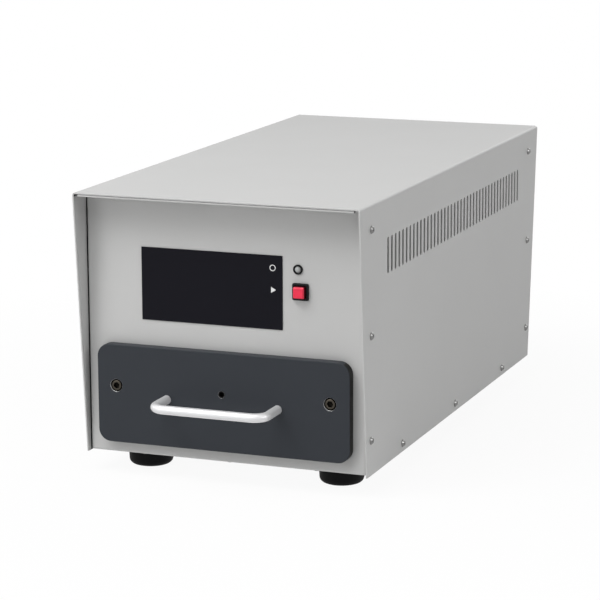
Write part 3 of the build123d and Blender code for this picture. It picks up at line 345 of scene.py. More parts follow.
def screw_sizes(node):
    """Places of a node's screws on their seat, and their head, rise, shank and length, read from the frame."""
    count, axis, _ = SCREW_NODES[node]
    solids = node_points(node).reshape(count, -1, 3)
    axis = np.asarray(axis, float)
    middles = (solids.min(axis=1) + solids.max(axis=1)) / 2
    height = solids @ axis
    across = solids - middles[:, None]
    across -= (across @ axis)[..., None] * axis
    radius = np.linalg.norm(across, axis=-1)
    head = radius.max()
    seat = height[radius > 0.98 * head].min()
    tip = height.min()
    shank = radius[height < tip + 0.1 * MM].max()
    places = middles + (seat - middles @ axis)[:, None] * axis
    return places, head, height.max() - seat, shank, seat - tip


def pan_head(head, rise, shank, reach, sizes):
    """A pan head screw about Z, seat at Z = 0.

    With s = r / head, the head's top is the lower of a crown, which falls with s^2, and a cone from the
    crown's edge to a low rim. A cross recess lowers it by a depth times two smooth steps: one where the smaller
    of |x| and |y| falls under half an arm's width, one where r falls under the arms' reach.
    """
    crown, rim, shoulder = sizes.crown_share, sizes.rim_share, sizes.shoulder_share
    angle = circle(SCREW_AROUND)
    share = np.concatenate([np.linspace(1.0, crown + 0.02, 6), np.linspace(crown, 0.02, 16)])[:, None]
    dome = 1 - (1 - shoulder) * (share / crown) ** 2
    cone = rim + (shoulder - rim) * (1 - share) / (1 - crown)
    arm = sizes.cross_width / 2
    soft = 0.3 * arm
    from_arm = share * np.minimum(np.abs(np.cos(angle)), np.abs(np.sin(angle)))
    across = smooth_step((arm + soft - from_arm) / (2 * soft))
    end_slope = 2.2
    along = smooth_step(end_slope * (1 - share / sizes.cross_reach))
    top = rise * (np.minimum(dome, cone) - sizes.cross_depth * across * along)
    stem = [about_z(radius, angle, height) for radius, height in ((shank, -reach), (shank, 0.0), (head, 0.0))]
    return skin(np.concatenate([np.array(stem), about_z(head * share, angle, top)]))


def socket_head(head, rise, shank, reach, sizes):
    """A socket screw about Z, seat at Z = 0: round rings, then rings on a hexagon, whose radius is half the
    width across flats over the cosine of the angle from the nearest flat."""
    angle = circle(SCREW_AROUND)
    flat = sizes.hexagon / 2 / np.cos(np.mod(angle, np.pi / 3) - np.pi / 6)
    deep = rise - sizes.hexagon_depth
    ease = 0.08 * head
    rows = [
        (shank, -reach), (shank, 0.0), (head, 0.0), (head, rise - 2 * ease), (head - ease, rise - ease / 2),
        (head - 2 * ease, rise), (1.12 * flat, rise), (flat, rise - ease), (flat, deep),
        (0.1 * flat, deep - 0.25 * sizes.hexagon_depth),
    ]
    return skin(np.array([about_z(radius, angle, height) for radius, height in rows]))


# Screws of each node: how many, the way their heads point, and the head's form
SCREW_NODES = {
    "cover_screws_right": (9, RIGHT, pan_head),
    "cover_screws_left": (9, LEFT, pan_head),
    "pan_screws": (6, DOWN, pan_head),
    "foot_screws": (4, DOWN, pan_head),
    "coil_screws": (4, DOWN, pan_head),
    "block_screws": (4, DOWN, pan_head),
    "fan_screws": (4, BACK, pan_head),
    "inlet_screws": (2, BACK, pan_head),
    "handle_screws": (2, BACK, pan_head),
    "drawer_cap_screws": (2, FRONT, socket_head),
}


class DEGAUSSER_OT_screws(Operator):
    """Cross recess screws and socket screws, each at its frame screw's place and size"""
    bl_idname = "degausser.screws"
    bl_label = "Screws"

    def execute(self, context):
        sizes = context.scene.degausser_sizes
        for node, (_, axis, form) in SCREW_NODES.items():
            places, *measures = screw_sizes(node)
            one = form(*measures, sizes)
            turned = [moved(one, place, axis, i * GOLDEN_TURN) for i, place in enumerate(places)]
            add_like(node, join(turned))
        return {"FINISHED"}


class DEGAUSSER_OT_handle(Operator):
    """The drawer's handle: a round section carried along two posts, two quarter bends and a bar"""
    bl_idname = "degausser.handle"
    bl_label = "Handle"

    def execute(self, context):
        low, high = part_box("drawer_handle")
        radius = (high.z - low.z) / 2
        bend = context.scene.degausser_sizes.handle_bend
        post = high.x - radius
        bar = low.y + radius
        height = (low.z + high.z) / 2
        left = arc((-post + bend, bar + bend), bend, 180, 270, 13)
        right = arc((post - bend, bar + bend), bend, 270, 360, 13)
        start = np.linspace((-post, high.y), left[0], 5)[:-1]
        middle = np.linspace(left[-1], right[0], 9)[1:-1]
        end = np.linspace(right[-1], (post, high.y), 5)[1:]
        flat = np.concatenate([start, left, middle, right, end])
        path = np.column_stack([flat, np.full(len(flat), height)])
        add_like("drawer_handle", tube(path, radius, UP, around=40))
        return {"FINISHED"}


class DEGAUSSER_OT_bare_edges(Operator):
    """Bright edges of the drawer front's counterbores, and a black lining and ring in its sight hole, painted
    shade that makes the hole look wider, with a thin rim round it
    """
    bl_idname = "degausser.bare_edges"
    bl_label = "Bored edges"

    def execute(self, context):
        sizes = context.scene.degausser_sizes
        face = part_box("drawer_front")[0].y
        places, head = screw_sizes("drawer_cap_screws")[:2]
        lining = sizes.bore_lining
        bore = head + sizes.bore_air - HAIR
        depth = 1.5 * MM
        sleeve = lathe([
            (bore, -depth), (bore, 0.0), (bore - 0.1 * lining, 0.0),
            (bore - lining, -lining), (bore - lining, -depth),
        ], around=56, closed=True)
        edges = [moved(sleeve, (x, face, z), FRONT) for x, _, z in places]
        sight = (0.0, face, places[0][2])
        hole = sizes.sight_hole / 2 - HAIR
        # A black lining and ring: painted shade in and round the sight hole
        shade_reach = hole + sizes.bush_flange
        thin = 0.1 * MM
        hole_shade = lathe([
            (hole, -depth), (hole, 0.0), (shade_reach, 0.0), (shade_reach, thin),
            (hole - thin, thin), (hole - thin, -depth),
        ], around=56, closed=True)
        tall = 2 * thin
        rim = lathe([
            (shade_reach, 0.0), (shade_reach + tall, 0.0), (shade_reach + tall, tall), (shade_reach + 0.9 * tall, tall),
        ], around=56, closed=True)
        edges.append(moved(rim, sight, FRONT))
        add_piece("sight_bush", moved(hole_shade, sight, FRONT), "drawer", "control_black")
        add_piece("bored_edges", join(edges), "drawer", "block_aluminium", FINISHES["bored"])
        return {"FINISHED"}


class DEGAUSSER_OT_feet(Operator):
    """Rubber feet, turned from one outline with a rounded lower edge and a recess for the screw"""
    bl_idname = "degausser.feet"
    bl_label = "Feet"

    def execute(self, context):
        sizes = context.scene.degausser_sizes
        solids = node_points("feet").reshape(4, -1, 3)
        places = (solids.min(axis=1) + solids.max(axis=1)) / 2
        places[:, 2] = 0.0
        width, _, top = (solids.max(axis=1) - solids.min(axis=1)).max(axis=0)
        radius = width / 2
        round_edge = sizes.foot_round
        recess = sizes.foot_recess
        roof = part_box("foot_screws")[0].z
        core = 0.3 * recess
        lip = 0.8 * MM
        foot = lathe([
            (core, roof), (recess - lip, roof), (recess, roof - lip),
            arc((recess + lip, lip), lip, 180, 270, 5),
            arc((radius - sizes.foot_taper - round_edge, round_edge), round_edge, 270, 357, 12),
            arc((radius - lip, top - lip), lip, 0, 90, 5),
            (core, top),
        ])
        add_like("feet", join([moved(foot, place) for place in places]))
        return {"FINISHED"}


class DEGAUSSER_OT_lamp(Operator):
    """The ready lamp: a domed lens in a clip ring with a rounded lip"""
    bl_idname = "degausser.lamp"
    bl_label = "Ready lamp"

    def execute(self, context):
        low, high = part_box("lamp_bezel")
        lens_low, lens_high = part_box("ready_lamp")
        axis_x, axis_z = node_middle("lamp_bezel")[[0, 2]]
        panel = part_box("front_panel")[0].y
        bore = (lens_high.x - lens_low.x) / 2
        ring = (high.x - low.x) / 2
        proud = panel - low.y
        back = high.y - panel
        body = 0.82 * ring
        lip = min(0.45 * proud, (ring - bore) / 2)
        clip = lathe([
            (body, -back), (body, 0.0), (ring, 0.0),
            arc((ring - lip, proud - lip), lip, 0, 90, 6),
            arc((bore + lip, proud - lip), lip, 90, 180, 6),
            (bore, -back),
        ], around=56, closed=True)
        place = (axis_x, panel, axis_z)
        add_like("lamp_bezel", moved(clip, place, FRONT))
        dome = panel - lens_low.y
        lens = 0.985 * bore
        glass = lathe([
            (lens, -back), (lens, dome - lens), arc((0.0, dome - lens), lens, 8, 86, 12),
        ], around=48)
        add_like("ready_lamp", moved(glass, place, FRONT))
        return {"FINISHED"}


class DEGAUSSER_OT_button(Operator):
    """The start button: a bevelled, dished square cap in a square bezel, both stacked from rounded outlines"""
    bl_idname = "degausser.button"
    bl_label = "Start button"

    def execute(self, context):
        sizes = context.scene.degausser_sizes
        dish, bevel = sizes.cap_dish, sizes.cap_bevel
        low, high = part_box("button_bezel")
        cap_low, cap_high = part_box("start_button")
        middle = node_middle("start_button")
        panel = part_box("front_panel")[0].y
        place = (middle[0], panel, middle[2])
        half = (cap_high.x - cap_low.x) / 2
        face = panel - cap_low.y
        back = panel - cap_high.y
        inner = half - bevel
        soft, firm, crisp = 14, 16, 20
        cap = [(square(half, firm), back), (square(half, firm), face - bevel)]
        share = np.linspace(1.0, 0.05, 10)
        cap += [(square(s * inner, 4 + (firm - 4) * s), face - dish * (1 - s * s)) for s in share]
        add_like("start_button", moved(stacked(cap), place, FRONT))

        outer = (high.x - low.x) / 2
        proud = panel - low.y
        deep = panel - high.y
        bore = half + 0.3 * MM
        body = bore + 1.0 * MM
        ease = 0.6 * MM
        edge = arc((0.0, 0.0), ease, 0, 90, 6)
        rows = [(square(body, crisp), deep), (square(body, crisp), 0.0), (square(outer, soft), 0.0)]
        rows += [(square(outer - ease + x, soft), proud - ease + z) for x, z in edge]
        rows += [(square(bore + ease, soft), proud)]
        rows += [(square(bore, crisp), height) for height in (proud - ease, deep)]
        add_like("button_bezel", moved(stacked(rows, closed=True), place, FRONT))
        return {"FINISHED"}


def fan_blade(hub, tip, depth):
    """One blade about Z: at each radius a thin cambered section, wrapped on the cylinder of that radius.

    With t round the section, a point lies cos t / 2 of the chord from its middle, and off it by a camber that
    falls with the square of that and a thickness times sin t. The pitch falls from hub to tip, so the width
    round the hub grows while the width along it nearly stays.
    """
    span = np.linspace(0, 1, 14)[:, None]
    turn_round = circle(28)[None, :]
    root = 0.97 * hub
    radius = root + (tip - root) * span
    hub_pitch, twist = 52, 20
    pitch = np.radians(hub_pitch - twist * span)
    axial = depth * (0.86 - 0.06 * span)
    chord = axial / np.sin(pitch)
    share = np.cos(turn_round) / 2
    camber = 0.09 * chord * (1 - 4 * share * share)
    thickness = (1.1 - 0.5 * span) * MM * np.sin(turn_round)
    along = chord * share
    off = camber + thickness
    height = along * np.sin(pitch) - off * np.cos(pitch)
    around = (along * np.cos(pitch) + off * np.sin(pitch)) / radius
    return skin(about_z(radius, around, height))


class DEGAUSSER_OT_fan(Operator):
    """The fan's rotor with twisted blades, and a wire guard of rings on two crossed stays"""
    bl_idname = "degausser.fan"
    bl_label = "Fan"

    def execute(self, context):
        sizes = context.scene.degausser_sizes
        low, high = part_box("fan_rotor")
        middle = np.array(JOINTS["fan_spin"]["pos_m"])
        depth = high.y - low.y
        tip = (high.z - low.z) / 2
        hub = sizes.hub_share * tip
        bore = 1.6 * MM
        lip = 1.5 * MM
        boss = lathe([
            (bore, -depth / 2),
            arc((hub - lip / 2, lip / 2 - depth / 2), lip / 2, 270, 360, 5),
            arc((hub - lip, depth / 2 - lip), lip, 0, 90, 7),
            (bore, depth / 2),
        ], around=70, closed=True)
        blade = fan_blade(hub, tip, depth)
        count = sizes.blades
        wheel = [moved(blade, (0, 0, 0), spin=2 * np.pi * i / count) for i in range(count)]
        add_like("fan_rotor", moved(join([boss] + wheel), middle, BACK))

        wire = sizes.wire / 2
        step = (tip + sizes.duct_air / 2) / sizes.guard_rings
        unit = about_z(1.0, circle(96), 0.0)
        radii = step * np.arange(1, sizes.guard_rings + 1)
        wires = [tube(radius * unit + (0, 0, 3 * wire), wire, UP, 10, True) for radius in radii]
        eyes = screw_sizes("fan_screws")[0] - (0, 0, middle[2])
        eye = sizes.guard_eye
        reach = np.hypot(eyes[0][0], eyes[0][2]) - eye
        for corner in (45, 135):
            way = about_z(reach, math.radians(corner), 0.0)
            wires.append(tube(np.linspace(-way, way, 9) + (0, 0, wire), wire, UP, 10))
        loop = tube(eye * unit[::3], wire, UP, 10, True)
        wires += [moved(loop, (x, z, wire)) for x, _, z in eyes]
        base = (0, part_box("fan_guard")[0].y, middle[2])
        add_like("fan_guard", moved(join(wires), base, BACK))
        return {"FINISHED"}


class DEGAUSSER_OT_tray_pad(Operator):
    """The foam pad in the tray: rounded outlines stacked from its flat underside over a soft edge to a crown"""
    bl_idname = "degausser.tray_pad"
    bl_label = "Tray pad"

    def execute(self, context):
        low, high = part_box("tray_pad")
        middle = node_middle("tray_pad")
        half_x = (high.x - low.x) / 2
        half_y = (high.y - low.y) / 2
        thick = high.z - low.z
        ease = 0.4 * thick
        wall = 0.8 * (thick - 2 * ease)
        crown = 0.2 * (thick - 2 * ease)

        def outline(inset, share=1.0):
            """The pad's outline, drawn in by a length and then to a share."""
            return rounded(share * (half_x - inset), share * (half_y - inset), 30, 96)

        edge = arc((0.0, 0.0), ease, -90, 90, 11)
        rows = [(outline(0.0, s), 0.0) for s in (0.05, 0.5)]
        rows += [(outline(ease - x), ease + z + (wall if z > 0 else 0.0)) for x, z in edge]
        share = np.linspace(0.97, 0.04, 18)
        rows += [(outline(ease, s), 2 * ease + wall + crown * (1 - s ** 4)) for s in share]
        pad = add_like("tray_pad", moved(stacked(rows), (middle[0], middle[1], low.z)))
        return {"FINISHED"}


def flat_mark(outline, thickness):
    """A flat mark with a given outline."""
    return stacked([(outline, 0.0), (outline, thickness)])


def ring_mark(radius, width, thickness):
    """A flat ring."""
    inner, outer = radius - width / 2, radius + width / 2
    return lathe([(inner, 0.0), (outer, 0.0), (outer, thickness), (inner, thickness)], around=48, closed=True)


def triangle_mark(reach, thickness):
    """A flat triangle that points along X, with its sides as the outline r = a / cos(angle from a side)."""
    angle = circle(48)
    radius = reach / 2 / np.cos(np.mod(angle, 2 * np.pi / 3) - np.pi / 3)
    return flat_mark(about_z(radius, angle, 0.0)[:, :2], thickness)


class DEGAUSSER_OT_marks(Operator):
    """Plain printed marks: ring and triangle on the legend plate, line and ring on the rocker"""
    bl_idname = "degausser.marks"
    bl_label = "Marks"

    def execute(self, context):
        sizes = context.scene.degausser_sizes
        thickness = sizes.mark_thickness
        low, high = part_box("legend_plate")
        x = high.x - sizes.mark_inset
        ready = ring_mark(2.6 * MM, 0.7 * MM, thickness)
        start = triangle_mark(3.2 * MM, thickness)
        signs = [
            moved(ready, (x, low.y, node_middle("lamp_bezel")[2]), FRONT),
            moved(start, (x, low.y, node_middle("button_bezel")[2]), FRONT),
        ]
        add_piece("legend_marks", join(signs), BODY_OF["legend_plate"], SLOT_OF["legend_plate"],
                  FINISHES["marks"])

        mesh = NODES["power_rocker"].data
        pivot = np.array(JOINTS["rocker_tilt"]["pos_m"])
        faces = [face for face in mesh.polygons if face.normal.y > 0.8 and face.area > 10 * MM * MM]
        line = flat_mark(rounded(0.5 * MM, 2.4 * MM, 8), thickness)
        ring = ring_mark(2.0 * MM, 0.8 * MM, thickness)
        signs = []
        for sign, above in ((line, True), (ring, False)):
            half = [face for face in faces if (face.center.z > pivot[2]) == above]
            if not half:
                raise RuntimeError("the rocker has no face for a mark")
            place = np.mean([np.array(face.center) for face in half], axis=0)
            place[0] = pivot[0]
            signs.append(moved(sign, place, half[0].normal))
        add_piece("rocker_marks", join(signs), "power_rocker", SLOT_OF["power_rocker"], FINISHES["marks"])
        return {"FINISHED"}


# Finishes

class Socket:
    """A number that changes over a surface. Arithmetic on it adds Math nodes."""

    def __init__(self, nodes, socket):
        self.nodes = nodes
        self.socket = socket

    def math(self, operation, first, second):
        settings = {"operation": operation}
        return self.nodes.node("ShaderNodeMath", settings, {0: first, 1: second})

    def __add__(self, other):
        return self.math("ADD", self, other)

    def __sub__(self, other):
        return self.math("SUBTRACT", self, other)

    def __rsub__(self, other):
        return self.math("SUBTRACT", other, self)

    def __mul__(self, other):
        return self.math("MULTIPLY", self, other)

    def __gt__(self, other):
        return self.math("GREATER_THAN", self, other)

    def __lt__(self, other):
        return self.math("LESS_THAN", self, other)

    def larger(self, other):
        return self.math("MAXIMUM", self, other)

    def smaller(self, other):
        return self.math("MINIMUM", self, other)

    __radd__ = __add__
    __rmul__ = __mul__


class Nodes:
    """A node tree, with one way to add a node."""

    def __init__(self, tree):
        self.tree = tree
        tree.nodes.clear()

    def node(self, kind, settings=None, sockets=None, output=0):
        """Add a node: its settings first, then the values or links of its sockets."""
        made = self.tree.nodes.new(kind)
        for name, value in (settings or {}).items():
            setattr(made, name, value)
        for name, value in (sockets or {}).items():
            self.put(made.inputs[name], value)
        return Socket(self, made.outputs[output]) if made.outputs else made

    def put(self, socket, value):
        """Set a socket, or link it."""
        if isinstance(value, Socket):
            self.tree.links.new(value.socket, socket)
        else:
            socket.default_value = value


class Finish(Nodes):
    """A material with one shader. Constants go on the shader's own sockets."""

    def __init__(self, name, constants):
        self.material = bpy.data.materials.new(name)
        self.material.use_nodes = True
        super().__init__(self.material.node_tree)
        shader = self.node("ShaderNodeBsdfPrincipled")
        self.shader = shader.socket.node
        self.node("ShaderNodeOutputMaterial", None, {"Surface": shader})
        self.feed(constants)

    def feed(self, values):
        """Set or link the shader's sockets by name."""
        for name, value in values.items():
            self.put(self.shader.inputs[name], value)

    def place(self, stretch=None):
        """Object coordinates, stretched along the axes if asked."""
        spot = self.node("ShaderNodeTexCoord", output="Object")
        if stretch is None:
            return spot
        return self.node("ShaderNodeMapping", None, {"Vector": spot, "Scale": stretch})

    def noise(self, grain, detail=3.0, stretch=None):
        """Cloudy noise with a given distance between its bumps."""
        sockets = {"Vector": self.place(stretch), "Scale": 1 / grain, "Detail": detail}
        return self.node("ShaderNodeTexNoise", None, sockets)

    def cells(self, grain, output="Distance"):
        """Distance to the nearest of scattered points."""
        return self.node("ShaderNodeTexVoronoi", None, {"Vector": self.place(), "Scale": 1 / grain}, output)

    def stripes(self, axis, pitch):
        """Ridges across an axis, from 0 between them to 1 on top. A wave's period is 2 pi / 20 over its scale."""
        settings = {"wave_type": "BANDS", "bands_direction": axis, "wave_profile": "SIN"}
        sockets = {"Vector": self.place(), "Scale": 2 * math.pi / 20 / pitch}
        return self.node("ShaderNodeTexWave", settings, sockets, "Fac")

    def along(self, axis):
        """Distance along an axis from the part's origin."""
        return self.node("ShaderNodeSeparateXYZ", None, {0: self.place()}, axis)

    def mix(self, share, low, high):
        """One colour changing to another with a share."""
        ends = [end if isinstance(end, Socket) else (*end, 1.0) for end in (low, high)]
        sockets = {0: share, 6: ends[0], 7: ends[1]}
        return self.node("ShaderNodeMix", {"data_type": "RGBA"}, sockets, 2)

    def vary(self, pattern, tint, spread, roughness, swing, grain=None, mask=None, under=None):
        """A tint that goes from darker to lighter with a pattern, between two factors, and another colour where
        a mask is 1. The roughness swings about its middle with the same pattern, or with a grain of its own."""
        coat = self.mix(pattern, *(tuple(min(1.0, channel * factor) for channel in tint) for factor in spread))
        self.feed({
            "Base Color": coat if mask is None else self.mix(mask, coat, under),
            "Roughness": roughness + swing * ((pattern if grain is None else grain) - 0.5),
        })

    def bump(self, height, distance, strength=1.0):
        """Normals of a height field of a given depth."""
        sockets = {"Height": height, "Distance": distance, "Strength": strength}
        self.feed({"Normal": self.node("ShaderNodeBump", None, sockets)})


def deepened(tint):
    """A colour as it looks where little light gets to it."""
    return tuple(0.12 * channel for channel in tint)


def powder_coat(name, tint, primer, shell, panels, sizes):
    """Baked paint: fine orange peel in roughness and bump, and a faint cloudiness in its colour.

    Near-black painted shade takes the place of the coat where the shell lies in shade, further than a skin's
    depth from the sides and top of the shell, a box given by two corners: between the two panels' faces, and in
    the reliefs at the ends of the hoods' strips.
    """
    finish = Finish(name, {"Specular IOR Level": 0.4})
    peel = finish.noise(sizes.paint_grain)
    low, high = shell
    front, rear = panels
    x, y, z = (finish.along(axis) for axis in "XYZ")
    side = (x - low.x).smaller(high.x - x)
    roof = high.z - z
    inner = side.smaller(roof) > sizes.paint_skin
    case = (y - front).smaller(rear - y) > sizes.paint_skin
    edge = (y - low.y).smaller(high.y - y)
    corner = (side < sizes.relief_width) * (roof < sizes.relief_drop)
    relief = corner * (edge > sizes.relief_start) * (edge < sizes.relief_end)
    # Painted shade inside the case and in the hoods' corner reliefs, in place of the coat
    painted_shade = inner * case.larger(relief)
    finish.vary(finish.noise(90 * MM, 2.0), tint, (0.975, 1.025), 0.46, 0.10, peel, painted_shade, primer)
    finish.bump(peel, 0.03 * MM, 0.6)
    return finish.material


def painted_face(name, tint, edge, grain, depth, top):
    """Powder coat on a plate's front face and on its top edge, which catches the light, and a near-black painted
    shade on its other edges, behind a given depth in Y and below a given height."""
    finish = Finish(name, {"Specular IOR Level": 0.14})
    peel = finish.noise(grain)
    # Painted shade on the plate's side and bottom edges
    painted_shade = (finish.along("Y") > depth) * (finish.along("Z") < top)
    finish.vary(finish.noise(60 * MM), tint, (0.95, 1.05), 0.44, 0.10, peel, painted_shade, edge)
    finish.bump(peel, 0.03 * MM, 0.6)
    return finish.material


def plated(name, tint, roughness, grain=6 * MM):
    """Plated or turned metal: faint stains in its colour, and roughness that varies with them."""
    finish = Finish(name, {"Metallic": 1.0})
    finish.vary(finish.noise(grain, 4.0), tint, (0.92, 1.05), roughness, 0.16)
    finish.bump(finish.noise(0.25 * MM), 0.01 * MM, 0.5)
    return finish.material


def oxide(name, tint, depth):
    """Blackened steel, with painted shade behind a given depth in Y, in the socket and round the head."""
    finish = Finish(name, {"Metallic": 1.0})
    # Painted shade in the socket and round the head
    behind = finish.along("Y") > depth
    finish.vary(finish.noise(1.5 * MM, 4.0), tint, (0.8, 1.25), 0.40, 0.2, None, behind, deepened(tint))
    return finish.material


def spangled(name, tint):
    """Zinc coated sheet with crystal flakes of differing tone."""
    finish = Finish(name, {"Metallic": 1.0})
    flake = finish.node("ShaderNodeRGBToBW", None, {0: finish.cells(9 * MM, "Color")})
    finish.vary(flake, tint, (0.86, 1.08), 0.42, 0.16)
    return finish.material


def brushed(name, tint, roughness, stretch):
    """Metal with fine lines along one axis."""
    finish = Finish(name, {"Metallic": 1.0})
    line = finish.noise(0.5 * MM, 3.0, stretch)
    finish.vary(line, tint, (0.95, 1.04), roughness, 0.12)
    finish.bump(line, 0.01 * MM, 0.5)
    return finish.material


def anodised(name, tint):
    """Satin anodised bar: part metal and part milky film, with fine lines along X."""
    finish = Finish(name, {"Metallic": 0.35})
    line = finish.noise(0.6 * MM, 3.0, (0.05, 1.0, 1.0))
    finish.vary(line, tint, (0.97, 1.03), 0.42, 0.10)
    finish.bump(line, 0.01 * MM, 0.5)
    return finish.material


def moulded(name, tint, roughness):
    """Moulded plastic with a fine spark-eroded grain."""
    finish = Finish(name, {"Specular IOR Level": 0.12})
    spark = finish.noise(0.6 * MM)
    finish.vary(finish.noise(25 * MM), tint, (0.9, 1.12), roughness, 0.14, spark)
    finish.bump(spark, 0.02 * MM, 0.6)
    return finish.material


def film(name, tint):
    """Satin polyester film: smooth, with a very fine matt grain."""
    finish = Finish(name, {"Specular IOR Level": 0.08})
    finish.vary(finish.noise(40 * MM), tint, (0.92, 1.08), 0.40, 0.08, finish.noise(0.4 * MM, 2.0))
    return finish.material


def rubber(name, tint):
    """Moulded rubber with a dusty bloom."""
    finish = Finish(name, {"Specular IOR Level": 0.1})
    finish.vary(finish.noise(4 * MM, 5.0), tint, (0.75, 1.5), 0.62, 0.2)
    finish.bump(finish.noise(0.5 * MM), 0.04 * MM, 0.6)
    return finish.material


def foam(name, tint):
    """Closed cell foam: small pits, and a soft mottled colour."""
    finish = Finish(name, {"Sheen Weight": 0.15})
    pit = finish.cells(0.9 * MM)
    finish.vary(finish.noise(3 * MM), tint, (0.7, 1.3), 0.91, 0.1, pit)
    finish.bump(pit, 0.35 * MM, 0.8)
    return finish.material


def winding(name, tint, axis, pitch):
    """Enamelled wire in close turns: ridges along an axis, with painted shade in the grooves between the turns."""
    finish = Finish(name, {"Metallic": 1.0})
    ridge = finish.stripes(axis, pitch)
    # Painted shade: the tint falls to a quarter in the grooves between the turns
    finish.vary(ridge, tint, (0.25, 1.0), 0.36, -0.12)
    finish.bump(ridge, 0.4 * MM)
    return finish.material


def laminated(name, tint, axis, pitch):
    """Varnished sheets in a stack: fine lines along an axis."""
    finish = Finish(name, {"Metallic": 0.6})
    sheet = finish.stripes(axis, pitch)
    finish.vary(sheet, tint, (0.6, 1.1), 0.50, -0.1)
    finish.bump(sheet, 0.05 * MM)
    return finish.material


def woven(name, tint):
    """Glass cloth laminate: the weave shows through its resin."""
    finish = Finish(name, {"Coat Weight": 0.2})
    weave = finish.stripes("X", 1.2 * MM) * finish.stripes("Z", 1.2 * MM)
    finish.vary(weave, tint, (0.85, 1.1), 0.50, 0.1)
    return finish.material


def circuit_board(name, tint):
    """Solder mask over copper tracks that run along the board."""
    finish = Finish(name, {})
    track = finish.noise(5 * MM, 0.0, (1.0, 0.12, 1.0)) > 0.52
    finish.vary(track, tint, (1.0, 2.0), 0.34, 0.08)
    finish.bump(track, 0.04 * MM)
    return finish.material


def clear_cap(name, tint, roughness, gloss=0.5, depth=None):
    """Tinted plastic whose colour deepens in patches, and which takes painted shade behind a depth in Y where one
    is given.
    """
    finish = Finish(name, {"Specular IOR Level": gloss})
    # Painted shade behind the given depth
    behind = None if depth is None else finish.along("Y") > depth
    finish.vary(finish.noise(6 * MM, 2.0), tint, (0.93, 1.06), roughness, 0.06, None, behind, deepened(tint))
    return finish.material


# Finishes of slots that take their colour from the record: the form, a name and the form's other values
RECORD_FINISHES = {
    "pan_zinc": (spangled, "zinc_sheet"),
    "rod_steel": (plated, "chromed_rods", 0.14, 20 * MM),
    "collar_steel": (brushed, "turned_steel", 0.32, (1.0, 0.08, 1.0)),
    "tray_plastic": (moulded, "tray_black", 0.5),
    "pad_foam": (foam, "tray_foam"),
    "former_plastic": (woven, "coil_laminate"),
    "copper": (plated, "bare_copper", 0.3),
    "block_aluminium": (brushed, "milled_aluminium", 0.34, (0.06, 1.0, 1.0)),
    "bush_bronze": (plated, "sintered_bronze", 0.45, 1.5 * MM),
    "core_steel": (laminated, "core_sheets", "Y", 1.0 * MM),
    "thyristor_case": (plated, "nickel_case", 0.22),
    "board_green": (circuit_board, "board_mask"),
    "board_part_black": (moulded, "board_parts_black", 0.45),
    "can_sleeve": (clear_cap, "can_sleeves", 0.3),
    "guard_steel": (plated, "bright_wire", 0.2),
}


class DEGAUSSER_OT_finishes(Operator):
    """One finish for each slot of the record, put on every frame node"""
    bl_idname = "degausser.finishes"
    bl_label = "Finishes"

    def execute(self, context):
        tints = context.scene.degausser_colours
        sizes = context.scene.degausser_sizes
        plate_low, plate_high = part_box("drawer_front")
        edge_y = plate_low.y + sizes.edge_coat
        edge_z = plate_high.z - sizes.top_coat
        socket_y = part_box("drawer_cap_screws")[0].y + sizes.worn_face
        # Behind the button's bevel its cap takes painted shade on its sides
        cap_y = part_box("start_button")[0].y + sizes.cap_bevel
        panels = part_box("front_panel")[0].y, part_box("rear_panel")[1].y
        FINISHES.update({
            "case_paint": powder_coat("case_powder_coat", tints.case, tints.primer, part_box("cover"), panels,
                                      sizes),
            "drawer_paint": painted_face("drawer_powder_coat", tints.drawer, tints.drawer_edge,
                                         sizes.paint_grain, edge_y, edge_z),
            "screw_zinc": plated("zinc_screws", tints.screw, 0.30),
            "cap_screw_black": oxide("oxide_screws", tints.socket_screw, socket_y),
            "foot_rubber": rubber("foot_rubber_black", tints.rubber),
            "handle_metal": anodised("satin_handle", tints.handle),
            "legend_black": film("legend_film", tints.legend),
            "control_black": moulded("control_black_plastic", tints.plastic, 0.42),
            "lamp_lens": clear_cap("lamp_glass", tints.lens, 0.18),
            "button_red": clear_cap("button_red_plastic", tints.button, 0.3, 0.35, cap_y),
            "marks": film("printed_marks", tints.mark),
            "bored": plated("bored_aluminium", tints.bored, 0.4, 1 * MM),
        })
        for slot, (form, name, *values) in RECORD_FINISHES.items():
            FINISHES[slot] = form(name, SLOT_COLOURS[slot], *values)
        copper = SLOT_COLOURS["copper"]
        wound = {
            "coil_winding": winding("coil_wire", copper, "Y", 3.0 * MM),
            "transformer_winding": winding("transformer_wire", copper, "Z", 1.4 * MM),
        }
        for node, solid in NODES.items():
            solid.material_slots[0].material = wound.get(node, FINISHES[SLOT_OF[node]])
        return {"FINISHED"}


# Stage

def add_light(name, place, aim, width, power):
    """A square light at a place, turned to a point."""
    light = bpy.data.lights.new(name, "AREA")
    light.shape = "SQUARE"
    light.size = width
    light.energy = power
    lamp = bpy.data.objects.new(name, light)
    lamp.location = place
    lamp.rotation_euler = (Vector(aim) - Vector(place)).to_track_quat("-Z", "Y").to_euler()
    bpy.context.scene.collection.objects.link(lamp)


def seen_directly(nodes):
    """1 for rays that show a surface or its mirror image, 0 for those that only light things."""
    ways = [nodes.node("ShaderNodeLightPath", None, None, name)
            for name in ("Is Camera Ray", "Is Glossy Ray", "Is Transmission Ray")]
    return ways[0].larger(ways[1]).larger(ways[2])


# Square lights, by the setting that holds their power: place and width
LIGHTS = {
    "overhead": ((-0.3, -1.3, 2.2), 1.6),
    "key": ((-1.1, -1.2, 2.0), 0.8),
    "front": ((-1.9, -2.4, 1.3), 1.6),
    "right": ((2.8, -0.6, 1.3), 0.9),
    "rear": ((0.6, 2.8, 1.5), 1.6),
    "left": ((-2.8, 0.2, 1.3), 1.6),
}


